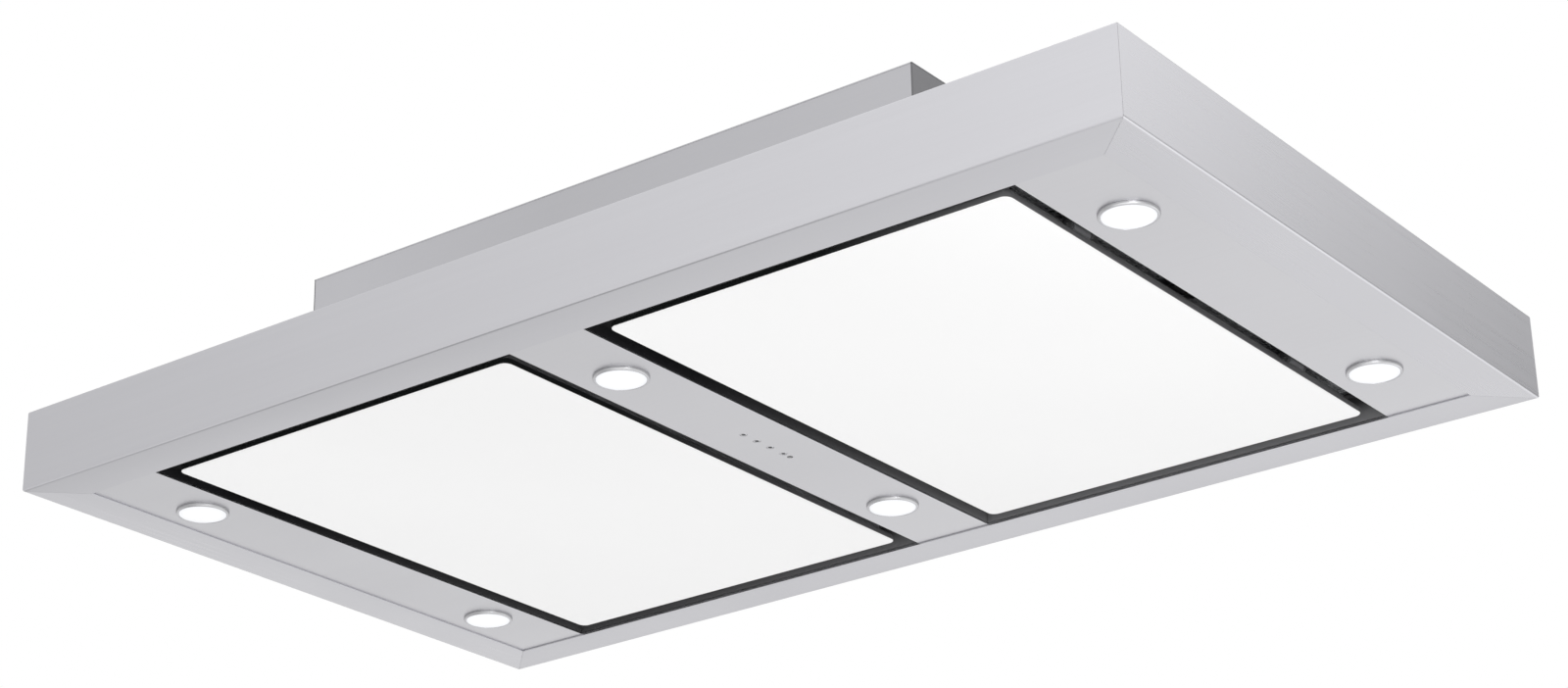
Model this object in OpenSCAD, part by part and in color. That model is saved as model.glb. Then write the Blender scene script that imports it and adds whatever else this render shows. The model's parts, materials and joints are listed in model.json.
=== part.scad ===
// Ceiling range hood with two white glass panels, six spots and a fan in the box above.
// The origin is the centre of the ceiling face of the upper box. X runs along the long side,
// Y along the short side and Z up. The hood hangs below the origin.

/* [Surround] */
// Length of the surround, along X
hood_l = 1200; // [1150:10:1300]
// Width of the surround, along Y
hood_w = 700; // [670:10:800]
// Height from the underside to the ceiling face
overall_h = 180; // [172:1:233]
// Height of the surround
surround_h = 80; // [72:1:86]
// Width of the lower flange of the surround
flange_w = 45; // [38:1:55]
// Width of the upper rim of the surround
rim_w = 16; // [12:1:20]
// Thickness of the surround sheet
sheet_t = 1.5; // [1:0.1:2]
// Inner radius of the folded edges
fold_r = 0.6; // [0.3:0.1:1]
// Gap in the mitred corner seams
seam_gap = 0.2; // [0.1:0.1:0.5]
// Length of each leg of a corner bracket
corner_leg = 60; // [30:5:90]
// Thickness of the corner brackets
corner_t = 2; // [1.5:0.5:4]

/* [Base plate] */
// Thickness of the base plate
plate_t = 1.5; // [1:0.1:2]
// Overlap of the base plate on the lower flange
plate_lap = 20; // [16:1:24]
// Width of the strip between the two openings
centre_strip_w = 82; // [78:1:100]
// Width of the strip beyond each opening
side_strip_w = 82; // [76:1:100]

/* [Glass panels] */
// Gap all round each glass panel
glass_gap = 15.5; // [12:0.5:17]
// Thickness of the glass
glass_t = 6; // [5:0.5:7]
// Depth of the glass face behind the underside
glass_drop = 2.5; // [1:0.5:4]
// Corner radius of the glass
glass_corner_r = 8; // [4:1:16]
// Distance of the carrier tray from the edge of the glass
tray_inset = 12; // [11:1:20]
// Height of the carrier tray
tray_h = 12; // [11:1:14]
// Thickness of the carrier tray sheet
tray_t = 1.2; // [0.8:0.1:1.6]
// Width of a stiffening rib in the tray
rib_w = 20; // [12:1:30]

/* [Hinges and magnets] */
// Distance of the hinge line from the outer edge of the glass
hinge_in = 7; // [6:0.5:7.5]
// Height of the hinge line above the glass
hinge_up = 7.5; // [7:0.5:9]
// Distance between the two hinges of a panel
hinge_pitch = 350; // [240:10:440]
// Radius of the hinge pins
hinge_pin_r = 2; // [1.5:0.5:2.5]
// Outer radius of the hinge knuckles and ears
knuckle_r = 4.4; // [4:0.1:4.5]
// Length of a hinge knuckle
knuckle_l = 24; // [16:1:40]
// Thickness of the hinge ears, arms and feet
ear_t = 3; // [2:0.5:4]
// Radius of a magnet
magnet_r = 8; // [6:1:12]
// Distance between the two magnets of a panel
magnet_pitch = 300; // [200:10:400]
// Thickness of the keeper brackets
keeper_t = 2; // [1.5:0.5:3]

/* [Suction wells and filters] */
// Thickness of the well sheet
well_t = 1.2; // [0.8:0.1:1.6]
// Width of the foot of a well on the base plate
well_foot = 9; // [6:1:10]
// Height of the well above the filters
well_rise = 8; // [4:1:12]
// Width of the lips and rails that hold the filters
rail_w = 8; // [5:1:10]
// Width of the crossbar between two filters
crossbar_w = 20; // [18:1:30]
// Thickness of a filter
filter_t = 9; // [8.5:0.5:12]
// Width of the frame of a filter
filter_rim = 14; // [12:1:20]
// Depth of the groove that holds the mesh
groove_d = 6; // [4:1:8]
// Number of folds pressed in a filter mesh
fold_count = 26; // [12:1:32]

/* [Filter latches] */
// Width of a latch bolt
bolt_w = 26; // [20:1:34]
// Thickness of a latch bolt
bolt_t = 3; // [2.5:0.1:3.4]
// Length of the bolt inside the filter
bolt_in_l = 10; // [9:1:12]
// Reach of the bolt into the crossbar
bolt_reach = 5; // [4:0.5:6]
// Travel of the latch
latch_travel = 6.5; // [6:0.5:8]
// Length of the latch spring
spring_l = 13; // [12:0.5:16]
// Outer radius of the latch spring
spring_r = 1.45; // [1.2:0.05:1.6]

/* [Spots] */
// Distance between the two spots of a strip
spot_pitch = 406; // [340:2:440]
// Outer radius of the spot bezel
bezel_r = 25; // [24:0.5:28]
// Height of the bezel below the base plate
bezel_t = 3; // [2.5:0.5:4]
// Radius of the lit opening of a spot
spot_open_r = 22.4; // [21:0.1:23]
// Radius of the hole for a spot
spot_hole_r = 21.8; // [21.5:0.1:22.5]
// Height of the spot body
spot_body_h = 22; // [18:1:30]

/* [Controls] */
// Number of buttons
button_count = 4; // [4]
// Distance between neighbouring buttons
button_pitch = 20; // [16:1:24]
// Radius of a button cap
button_r = 3.25; // [2.5:0.05:4]
// Travel of a button
button_travel = 0.8; // [0.4:0.1:1]
// Radius of the receiver window
window_r = 2.6; // [2:0.1:3.5]

/* [Upper box] */
// Length of the upper box, along X
box_l = 680; // [650:5:760]
// Width of the upper box, along Y
box_w = 480; // [460:5:560]
// Thickness of the sheet of the upper box and the deck
box_t = 1.2; // [1:0.1:2]
// Width of the foot of the upper box
box_foot = 14; // [12:1:20]
// Distance of the ceiling bolts from the sides of the box
bolt_inset = 45; // [40:1:60]
// Radius of the ceiling bolt holes
bolt_hole_r = 4.5; // [3:0.5:6]
// Width of the mounting rails
ceiling_rail_w = 30; // [24:2:40]
// Height of the mounting rails
ceiling_rail_h = 12; // [8:1:16]

/* [Duct collar] */
// Clearance between the flange of the collar and the mounting rail beside it
collar_clear = 39.5; // [10:0.5:60]
// Outer radius of the collar
collar_r = 74.5; // [70:0.5:76]
// Width of the shoulder that centres the collar in the box and stops the duct
collar_shoulder_w = 1.5; // [1.2:0.1:3]
// Thickness of the collar wall
collar_t = 1.5; // [1:0.1:2.5]
// Height of the collar above the ceiling face
collar_up = 50; // [45:1:80]
// Depth of the collar inside the box
collar_down = 32; // [30:1:40]
// Width of the collar flange
collar_flange_w = 16; // [14:1:20]
// Radius of the damper pin
damper_pin_r = 2; // [1.5:0.5:3]
// Thickness of a damper flap
flap_t = 1; // [0.8:0.1:1.6]

/* [Fan] */
// Distance of the fan from the middle of the box
fan_x = 120; // [110:5:135]
// Outer radius of the impeller
impeller_r = 115; // [100:1:118]
// Height of the impeller from shroud to back plate
impeller_h = 56; // [48:1:58]
// Number of impeller blades
blade_count = 9; // [7:1:13]
// Thickness of the impeller sheet and blades
blade_t = 2; // [1.5:0.1:2.5]
// Inner radius of the inlet throat
throat_r = 73; // [66:1:74]
// Radius of the motor
motor_r = 46; // [40:1:47]
// Radius of the motor shaft
shaft_r = 4; // [3:0.5:5]

/* [Hidden] */
$fn = 48;

// Shared clearances and the overrun of every cut
cut_over = 1;
seat_gap = 0.3;
run_gap = 0.05;
edge_gap = 1;
quarter = 90;
turn = 360;

// Heights of the surround and the base plate
under_z = -overall_h;
flange_z = under_z + sheet_t;
plate_z = flange_z + plate_t;
rim_z = under_z + surround_h;
deck_z = rim_z - sheet_t;
deck_under_z = deck_z - box_t;
box_in_z = -box_t;

// Openings in the base plate
inner_l = hood_l - 2 * flange_w;
opening_w = hood_w - 2 * flange_w;
opening_l = (inner_l - centre_strip_w) / 2 - side_strip_w;
opening_x = (centre_strip_w + opening_l) / 2;
opening_in_x = centre_strip_w / 2;
opening_out_x = opening_in_x + opening_l;
side_strip_x = opening_out_x + side_strip_w / 2;

// Glass, tray and hinge line of the panel on the +X side
glass_l = opening_l - 2 * glass_gap;
glass_w = opening_w - 2 * glass_gap;
glass_z = under_z + glass_drop;
glass_top_z = glass_z + glass_t;
glass_out_x = opening_out_x - glass_gap;
glass_in_x = opening_in_x + glass_gap;
tray_top_z = glass_top_z + tray_h;
tray_out_x = glass_out_x - tray_inset;
hinge_x = glass_out_x - hinge_in;
hinge_z = glass_top_z + hinge_up;
hinge_clear = 2;
hinge_side_gap = 0.5;
hinge_half = knuckle_l / 2 + hinge_side_gap + ear_t;
arm_z = hinge_z + hinge_in + hinge_clear;
arm_top_z = arm_z + ear_t;
foot_t = 2;
foot_drop = 14;

// Well and filters on the +X side
well_gap = 0.5;
well_in_x = opening_in_x - well_gap;
well_out_x = opening_out_x + well_gap;
well_y = opening_w / 2 + well_gap;
filter_over_arm = 2;
filter_z = arm_top_z + filter_over_arm;
filter_top_z = filter_z + filter_t;
well_top_z = filter_top_z + well_rise;
filter_gap = 0.8;
filter_side_gap = 2;
filter_y0 = crossbar_w / 2 + filter_gap;
filter_y1 = well_y - filter_gap;
filter_x0 = well_in_x + filter_side_gap;
filter_x1 = well_out_x - filter_side_gap;
filter_skin = 1;

// Latch in the bar of the filter next to the crossbar
latch_gap = 0.3;
bolt_z = filter_z + (filter_t - bolt_t) / 2;
bolt_tip = filter_gap + well_t + bolt_reach;
latch_block_w = 44;
latch_block_l = latch_gap + bolt_in_l + spring_l + latch_gap + filter_skin;
handle_t = 2;
handle_l = 34;
stem_w = 12;
stem_l = 5;
stem_inset = 3;
pull_t = 2;
pull_h = 4;
spring_turns = 5;
spring_steps = 8;
spring_sides = 5;
wire_r = 0.25;

// Magnets
magnet_inset = 16;
magnet_h = tray_h - tray_t;
magnet_x = glass_in_x + tray_inset + magnet_inset;
keeper_w = 24;
keeper_foot_h = 7;

// Spots
bezel_z = flange_z - bezel_t;
lens_gap = 0.2;
lens_t = 1.6;
lens_in = 0.4;
bezel_wall = 1.6;
bezel_neck = 5;
bezel_slope = 1.2;
fin_t = 3;
fin_gap = 2;
fin_in = 4;
clip_t = 0.6;
clip_w = 8;
clip_out = 7;
clip_rise = 10;
neck_r = spot_hole_r - seat_gap;
neck_in_r = neck_r - bezel_wall;
neck_top_z = flange_z + bezel_neck;
lens_z = bezel_z + lens_in;
lens_top_z = lens_z + lens_t;
spot_body_r = neck_r - seat_gap;
spot_top_z = plate_z + spot_body_h;

// Controls
button_gap = 0.25;
cap_flange_r = 4.4;
cap_flange_t = 1;
cap_h = 5.7;
switch_h = 3.8;
switch_w = 6;
switch_gap = button_travel + 0.2;
board_t = 1.6;
board_l = 116;
board_w = 44;
housing_l = 130;
housing_w = 52;
housing_h = 17;
housing_t = 1.6;
board_post_r = 3;
window_y = 2 * button_pitch;
window_flange = 1.4;
button_z = flange_z;
switch_z = button_z + cap_h + switch_gap;
board_z = switch_z + switch_h;
housing_y = button_pitch / 4;

// Electrical boxes
driver_l = 150;
driver_w = 44;
driver_h = 28;
driver_lid_t = 2;
driver_tab_l = 12;
power_l = 115;
power_w = 115;
power_h = 42;
power_in_x = 15;
power_in_y = 25;
power_x0 = box_l / 2 - power_l - power_in_x;
power_y0 = box_w / 2 - power_w - power_in_y;
power_wall = 2;
vent_count = 7;
vent_w = 4;
vent_pitch = 12;
board_foot_h = 6;
choke_r = 11;
choke_h = 22;
relay = [20, 16, 15];
relay_gap = 6;

// Cable gland in the back of the upper box
gland_side = 115;
gland_x = gland_side - box_l / 2;
gland_drop = 37;
gland_r = 10;
gland_bore_r = 5;
gland_nut_r = 13.5;
gland_nut_t = 5;
gland_out = 14;
gland_in = 6;
hex_sides = 6;

// Wiring
lead_r = 3;
lead_hole_r = 4.5;
lead_lift = 8;
lead_in = 35;
lead_y = box_w / 2 - lead_in;
motor_lead_in = 25;
motor_lead_y = power_y0 + motor_lead_in;
trunk_in = 35;
trunk_x = power_x0 + trunk_in;
trunk_out = 12;
trunk_y = power_y0 - trunk_out;
trunk_drop = 12;

// Screws
screw_r = 2;
head_r = 3.8;
head_t = 2.4;
screw_l = 8;
foot_screw_inset = 7;
foot_screws_x = 5;
foot_screws_y = 3;
ring_screws = 6;
collar_screws = 4;
sheet_gap = 0.02;

// Duct collar and damper
collar_edge_r = collar_r + collar_flange_w;
collar_x = box_l / 2 - bolt_inset - ceiling_rail_w / 2 - collar_clear - collar_edge_r;
collar_in_r = collar_r - collar_t;
collar_hole_gap = 0.5;
collar_shoulder_up = 0.5;
collar_flange_t = 1.5;
damper_drop = 22;
damper_pin_z = -damper_drop;
seat_lip_w = 4;
seat_lip_t = 1.2;
flap_edge_gap = 1.5;
flap_knuckle_r = 3.6;
flap_split = 0.6;
flap_knuckle_gap = 0.5;
flap_knuckles = 4;
flap_knuckle_l = 2 * (collar_in_r - flap_edge_gap) / flap_knuckles;

// Fan heights above the deck
ring_flange_t = 1.5;
ring_flange_w = 14;
bell_r = 15;
bell_steps = 5;
shroud_up = 10.5;
eye_gap = 4.5;
throat_gap = 2.5;
cup_gap = 4;
cup_t = 2;
cup_drop = 40;
hub_r = 12;
hub_up = 2;
hub_down = 8;
motor_gap = 4;
motor_h = 44;
motor_band_h = 10;
motor_band = 1.5;
bracket_t = 2.5;
bracket_r = 52;
bracket_arm_w = 22;
post_r = 6;
post_gap = 12;
rubber_r = 9;
rubber_t = 4;
post_ring_r = impeller_r + rubber_r + post_gap;
shaft_up = 20;
blade_arc_r = 80;
blade_arc_off = 70;
blade_in_r = 60;
shroud_z = deck_z + shroud_up;
back_z = shroud_z + impeller_h - blade_t;
cup_z = back_z - cup_drop;
motor_z = cup_z + cup_t + motor_gap;
bracket_z = motor_z + motor_h;
post_top_z = bracket_z - rubber_t;
fan_at = [-fan_x, 0, 0];

// A block between its lowest and highest corners
module block(low, high) {
    translate(low) cube(high - low);
}

// A disc between two heights
module disc(r, z0, z1) {
    translate([0, 0, z0]) cylinder(r = r, h = z1 - z0);
}

// A centred rectangle with round corners
module round_rect(l, w, r) {
    square([l - 2 * r, w], center = true);
    square([l, w - 2 * r], center = true);
    for (x = [-1, 1], y = [-1, 1])
        translate([x * (l / 2 - r), y * (w / 2 - r)]) circle(r);
}

// A plate with a flat outline between two heights
module plate_between(z0, z1) {
    translate([0, 0, z0]) linear_extrude(height = z1 - z0) children();
}

// Children are drawn on the +X side and carried to the side asked for
module on_side(side) {
    if (side > 0) children();
    else mirror([1, 0, 0]) children();
}

// Children are drawn on the +Y end and carried to the end asked for
module on_end(end) {
    if (end > 0) children();
    else mirror([0, 1, 0]) children();
}

// Children are drawn in the +X +Y quarter
module on_quarter(side, end) {
    on_side(side) on_end(end) children();
}

// Section of the surround: depth inwards along X, height along Y
module surround_section() {
    outer_r = fold_r + sheet_t;
    difference() {
        translate([flange_w, surround_h / 2]) round_rect(2 * flange_w, surround_h, outer_r);
        translate([flange_w + sheet_t, surround_h / 2])
            round_rect(2 * flange_w, surround_h - 2 * sheet_t, fold_r);
        translate([flange_w, -cut_over]) square([2 * flange_w, surround_h / 2 + cut_over]);
        translate([rim_w, surround_h / 2]) square([2 * flange_w, surround_h / 2 + cut_over]);
    }
}

// One mitred panel of the surround, outer face at x = 0, running along Y
module surround_panel(length) {
    half = length / 2 - seam_gap / 2;
    intersection() {
        translate([0, half, under_z]) rotate([quarter, 0, 0])
            linear_extrude(height = 2 * half) surround_section();
        plate_between(under_z - cut_over, rim_z + cut_over)
            polygon([
                [0, -half], [0, half],
                [flange_w, half - flange_w], [flange_w, flange_w - half]
            ]);
    }
}

module surround_front() {
    color("#c8c8cc") translate([0, -hood_w / 2, 0]) rotate([0, 0, quarter]) surround_panel(hood_l);
}

module surround_back() {
    color("#c8c8cc") translate([0, hood_w / 2, 0]) rotate([0, 0, -quarter]) surround_panel(hood_l);
}

module surround_left() {
    color("#c8c8cc") translate([-hood_l / 2, 0, 0]) surround_panel(hood_w);
}

module surround_right() {
    color("#c8c8cc") translate([hood_l / 2, 0, 0]) rotate([0, 0, 2 * quarter]) surround_panel(hood_w);
}

// Angle brackets that tie the panels together inside each corner
module corner_brackets() {
    x = hood_l / 2 - sheet_t;
    y = hood_w / 2 - sheet_t;
    z = flange_z + fold_r;
    color("#a9abae") for (side = [-1, 1], end = [-1, 1]) on_quarter(side, end) {
        block([x - corner_leg, y - corner_t, z], [x, y, deck_under_z]);
        block([x - corner_t, y - corner_leg, z], [x, y, deck_under_z]);
    }
}

// Places of the spots, seen from above
module at_spots() {
    for (x = [-side_strip_x, 0, side_strip_x], y = [-spot_pitch / 2, spot_pitch / 2])
        translate([x, y, 0]) children();
}

// Place of a button, counted from the front
module at_button(i) {
    translate([0, (i - (button_count - 1) / 2) * button_pitch, 0]) children();
}

// Base plate with the two openings, the spot holes and the control holes
module base_plate() {
    color("#cdcdd0") plate_between(flange_z, plate_z) difference() {
        square([inner_l + 2 * plate_lap, opening_w + 2 * plate_lap], center = true);
        for (side = [-1, 1]) translate([side * opening_x, 0]) square([opening_l, opening_w], center = true);
        at_spots() circle(spot_hole_r);
        for (i = [0 : button_count - 1]) at_button(i) circle(button_r + button_gap);
        translate([0, window_y]) circle(window_r + button_gap);
    }
}

// Rails at the end of the well that hold the outer edge of a filter
module filter_rail() {
    x0 = well_in_x + seam_gap;
    x1 = well_out_x - seam_gap;
    low = filter_z - seat_gap;
    high = filter_top_z + seat_gap;
    block([x0, well_y - rail_w, low - well_t], [x1, well_y + well_t, low]);
    block([x0, well_y - rail_w, high], [x1, well_y + well_t, high + well_t]);
}

// Hollow crossbar with a lip above each filter and a slot for each bolt
module crossbar() {
    half = crossbar_w / 2;
    x0 = well_in_x + seam_gap;
    x1 = well_out_x - seam_gap;
    low = filter_z - seat_gap - well_t;
    lip = filter_top_z + seat_gap;
    difference() {
        union() {
            block([x0, -half, low], [x1, half, well_top_z]);
            block([x0, -half - rail_w, lip], [x1, half + rail_w, lip + well_t]);
        }
        block([well_in_x, well_t - half, low + well_t], [well_out_x, half - well_t, well_top_z - well_t]);
        block(
            [opening_x - bolt_w / 2 - latch_gap, -half - cut_over, bolt_z - latch_gap],
            [opening_x + bolt_w / 2 + latch_gap, half + cut_over, bolt_z + bolt_t + latch_gap]
        );
    }
}

// One mitred wall of a well with its foot, inner face at x = 0, running along Y
module well_wall(length) {
    half = length / 2 - seam_gap / 2;
    out = well_t + well_foot;
    intersection() {
        union() {
            block([0, -half - well_t, plate_z], [well_t, half + well_t, well_top_z]);
            block([0, -half - out, plate_z], [out, half + out, plate_z + well_t]);
        }
        plate_between(plate_z - cut_over, well_top_z + cut_over)
            polygon([[0, -half], [out, -half - out], [out, half + out], [0, half]]);
    }
}

// Black suction well above an opening, with its foot on the base plate
module suction_well() {
    translate([well_out_x, 0, 0]) well_wall(2 * well_y);
    translate([well_in_x, 0, 0]) mirror([1, 0, 0]) well_wall(2 * well_y);
    for (end = [-1, 1]) on_end(end) {
        translate([opening_x, well_y, 0]) rotate([0, 0, quarter])
            well_wall(well_out_x - well_in_x);
        filter_rail();
    }
    crossbar();
}

module suction_well_left() {
    color("#1b1b1d") on_side(-1) suction_well();
}

module suction_well_right() {
    color("#1b1b1d") on_side(1) suction_well();
}

// Places of the screws through the foot of the upper box
module at_foot_screws() {
    x = box_l / 2 + foot_screw_inset;
    y = box_w / 2 + foot_screw_inset;
    step_x = (box_l - 2 * box_foot) / (foot_screws_x - 1);
    step_y = (box_w - 2 * box_foot) / (foot_screws_y - 1);
    for (side = [-1, 1]) {
        for (i = [0 : foot_screws_x - 1])
            translate([(i - (foot_screws_x - 1) / 2) * step_x, side * y, 0]) children();
        for (i = [0 : foot_screws_y - 1])
            translate([side * x, (i - (foot_screws_y - 1) / 2) * step_y, 0]) children();
    }
}

// Places of the screws through the inlet ring
module at_ring_screws() {
    r = throat_r + bell_r + ring_flange_w / 2;
    translate(fan_at) for (i = [0 : ring_screws - 1])
        rotate([0, 0, turn * (i + 1 / 2) / ring_screws]) translate([r, 0, 0]) children();
}

// Places of the screws through the collar flange
module at_collar_screws() {
    r = collar_r + collar_flange_w / 2;
    translate([collar_x, 0, 0]) for (i = [0 : collar_screws - 1])
        rotate([0, 0, turn * (i + 1 / 2) / collar_screws]) translate([r, 0, 0]) children();
}

// Places of the posts of the fan
module at_posts() {
    translate(fan_at) for (i = [0 : 3])
        rotate([0, 0, quarter * (i + 1 / 2)]) translate([post_ring_r, 0, 0]) children();
}

// Deck that closes the surround and carries the fan and the upper box
module top_plate() {
    l = hood_l - 2 * sheet_t - 2 * edge_gap;
    w = hood_w - 2 * sheet_t - 2 * edge_gap;
    color("#b4b6ba") plate_between(deck_under_z, deck_z) difference() {
        square([l, w], center = true);
        translate(fan_at) circle(throat_r + bell_r);
        translate([trunk_x, trunk_y]) circle(lead_hole_r);
        at_foot_screws() circle(screw_r + sheet_gap);
        at_ring_screws() circle(screw_r + sheet_gap);
    }
}

// Places of the ceiling bolts
module at_ceiling_bolts() {
    for (x = [-1, 1], y = [-1, 1])
        translate([x * (box_l / 2 - bolt_inset), y * (box_w / 2 - bolt_inset), 0]) children();
}

// One mitred wall of the upper box with its foot, outer face at x = 0, running along Y
module box_wall(length) {
    half = length / 2 - seam_gap / 2;
    top = box_in_z - seam_gap;
    intersection() {
        union() {
            block([0, -half, deck_z], [box_t, half, top]);
            block([-box_foot, -half - box_foot, deck_z], [box_t, half + box_foot, deck_z + box_t]);
        }
        plate_between(deck_z - cut_over, top + cut_over) polygon([
            [-box_foot, -half - box_foot], [-box_foot, half + box_foot],
            [box_t, half - box_t], [box_t, box_t - half]
        ]);
    }
}

// Upper box: a top on four welded walls, open below, with a foot all round
module upper_box() {
    x = box_l / 2;
    y = box_w / 2;
    color("#b9b9be") difference() {
        union() {
            block([-x, -y, box_in_z], [x, y, 0]);
            for (side = [-1, 1]) on_side(side) translate([x, 0, 0]) mirror([1, 0, 0]) box_wall(box_w);
            for (end = [-1, 1]) on_end(end) translate([0, y, 0]) rotate([0, 0, -quarter]) box_wall(box_l);
        }
        translate([collar_x, 0, 0])
            disc(collar_r + collar_shoulder_w + collar_hole_gap, box_in_z - cut_over, cut_over);
        at_ceiling_bolts() disc(bolt_hole_r, box_in_z - cut_over, cut_over);
        at_collar_screws() disc(screw_r + sheet_gap, box_in_z - cut_over, cut_over);
        at_foot_screws() disc(screw_r + sheet_gap, deck_z - cut_over, deck_z + box_t + cut_over);
        translate([gland_x, y + cut_over, -gland_drop]) rotate([quarter, 0, 0])
            cylinder(r = gland_r + sheet_gap, h = box_t + 2 * cut_over);
    }
}

// Two channels under the top of the box that take the ceiling bolts
module mounting_rails() {
    half = box_w / 2 - box_t - edge_gap;
    low_z = box_in_z - ceiling_rail_h;
    color("#8f9296") for (side = [-1, 1]) difference() {
        translate([side * (box_l / 2 - bolt_inset), 0, 0]) difference() {
            block([-ceiling_rail_w / 2, -half, low_z], [ceiling_rail_w / 2, half, box_in_z]);
            block(
                [foot_t - ceiling_rail_w / 2, -half - cut_over, low_z - cut_over],
                [ceiling_rail_w / 2 - foot_t, half + cut_over, box_in_z - foot_t]
            );
        }
        at_ceiling_bolts() disc(bolt_hole_r, low_z, cut_over);
    }
}

// Round collar for the duct, with a flange under the top of the box and a seat for the flaps
module duct_collar() {
    seat_z = damper_pin_z - flap_t / 2 - seat_gap - seat_lip_t;
    color("#c2c4c8") translate([collar_x, 0, 0]) difference() {
        union() {
            disc(collar_r, box_in_z - collar_down, collar_up);
            disc(collar_r + collar_shoulder_w, box_in_z - collar_flange_t, collar_shoulder_up);
            disc(collar_edge_r, box_in_z - collar_flange_t, box_in_z);
        }
        difference() {
            disc(collar_in_r, box_in_z - collar_down - cut_over, collar_up + cut_over);
            difference() {
                disc(collar_r, seat_z, seat_z + seat_lip_t);
                disc(collar_in_r - seat_lip_w, seat_z - cut_over, seat_z + seat_lip_t + cut_over);
                block(
                    [-flap_knuckle_r - cut_over, -collar_r, seat_z - cut_over],
                    [flap_knuckle_r + cut_over, collar_r, seat_z + seat_lip_t + cut_over]
                );
            }
        }
        translate([0, collar_r + cut_over, damper_pin_z]) rotate([quarter, 0, 0])
            cylinder(r = damper_pin_r, h = 2 * collar_r + 2 * cut_over);
        translate([-collar_x, 0, 0]) at_collar_screws()
            disc(screw_r + sheet_gap, box_in_z - collar_flange_t - cut_over, box_in_z + cut_over);
    }
}

// Cylinder round the damper pin between two places along Y
module pin_cylinder(r, y0, y1) {
    translate([0, y1, 0]) rotate([quarter, 0, 0]) cylinder(r = r, h = y1 - y0);
}

// Where a knuckle of the damper starts along the pin, counted from the front
function knuckle_start(i) = (i - flap_knuckles / 2) * flap_knuckle_l;

// Half-round damper flap on the +X side of the pin, with its knuckles at the places given
module damper_flap(places) {
    r = collar_in_r - flap_edge_gap;
    translate([collar_x, 0, damper_pin_z]) difference() {
        union() {
            difference() {
                disc(r, -flap_t / 2, flap_t / 2);
                block([-collar_r, -collar_r, -flap_t], [flap_split, collar_r, flap_t]);
                for (i = [0 : flap_knuckles - 1]) if (len(search(i, places)) == 0)
                    block(
                        [-cut_over, knuckle_start(i) - flap_knuckle_gap, -flap_t],
                        [flap_knuckle_r + flap_knuckle_gap, knuckle_start(i + 1) + flap_knuckle_gap, flap_t]
                    );
            }
            for (i = places) pin_cylinder(
                flap_knuckle_r,
                knuckle_start(i) + flap_knuckle_gap,
                knuckle_start(i + 1) - flap_knuckle_gap
            );
        }
        pin_cylinder(damper_pin_r + run_gap, -r - cut_over, r + cut_over);
    }
}

module damper_flap_right() {
    color("#d6d8da") damper_flap([0, 2]);
}

module damper_flap_left() {
    color("#d6d8da") translate([2 * collar_x, 0, 0]) mirror([1, 0, 0]) damper_flap([1, 3]);
}

module damper_pin() {
    color("#8f9296") translate([collar_x, 0, damper_pin_z])
        pin_cylinder(damper_pin_r, -collar_r, collar_r);
}

// Bell-mouthed inlet ring on the deck: its wall is a quarter round that narrows upwards
module inlet_ring() {
    centre_r = throat_r + bell_r;
    flange_r = centre_r + ring_flange_w;
    arc = [for (i = [0 : bell_steps]) quarter * i / bell_steps];
    color("#2b2c2f") translate(fan_at) difference() {
        translate([0, 0, deck_z]) rotate_extrude() polygon(concat(
            [for (a = arc) [centre_r - bell_r * sin(a), bell_r - bell_r * cos(a)]],
            [for (i = [bell_steps : -1 : 0]) let (a = arc[i], r = bell_r - ring_flange_t)
                [centre_r - r * sin(a), bell_r - r * cos(a)]],
            [[flange_r, ring_flange_t], [flange_r, 0]]
        ));
        translate(-fan_at) at_ring_screws()
            disc(screw_r + sheet_gap, deck_z - cut_over, deck_z + ring_flange_t + cut_over);
    }
}

// Steel posts that carry the motor bracket
module fan_posts() {
    color("#9a9da1") at_posts() difference() {
        disc(post_r, deck_z, post_top_z);
        disc(screw_r + sheet_gap, post_top_z - screw_l - seat_gap, post_top_z + cut_over);
    }
}

// Rubber rings between the posts and the motor bracket
module rubber_mounts() {
    color("#202022") at_posts() difference() {
        disc(rubber_r, post_top_z, bracket_z);
        disc(screw_r + sheet_gap, post_top_z - cut_over, bracket_z + cut_over);
    }
}

// Flat bracket with four arms above the impeller
module motor_bracket() {
    color("#9a9da1") difference() {
        translate(fan_at) {
            disc(bracket_r, bracket_z, bracket_z + bracket_t);
            for (i = [0 : 3]) rotate([0, 0, quarter * (i + 1 / 2)]) {
                block(
                    [0, -bracket_arm_w / 2, bracket_z],
                    [post_ring_r, bracket_arm_w / 2, bracket_z + bracket_t]
                );
                translate([post_ring_r, 0, 0]) disc(bracket_arm_w / 2, bracket_z, bracket_z + bracket_t);
            }
        }
        at_posts() disc(screw_r + sheet_gap, bracket_z - cut_over, bracket_z + bracket_t + cut_over);
    }
}

// Motor under the bracket, set down into the cup of the impeller, with its bearing bore
module motor() {
    color("#55585c") translate(fan_at) difference() {
        union() {
            disc(motor_r, motor_z, bracket_z);
            disc(motor_r + motor_band, bracket_z - motor_band_h, bracket_z);
        }
        disc(shaft_r + run_gap, motor_z - cut_over, motor_z + shaft_up + seat_gap);
    }
}

// Flat outline of one backward-curved blade
module blade_outline() {
    intersection() {
        translate([0, blade_arc_off]) difference() {
            circle(blade_arc_r);
            circle(blade_arc_r - blade_t);
        }
        difference() {
            circle(impeller_r - blade_t / 2);
            circle(blade_in_r);
        }
        translate([0, -impeller_r]) square(2 * impeller_r);
    }
}

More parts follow.
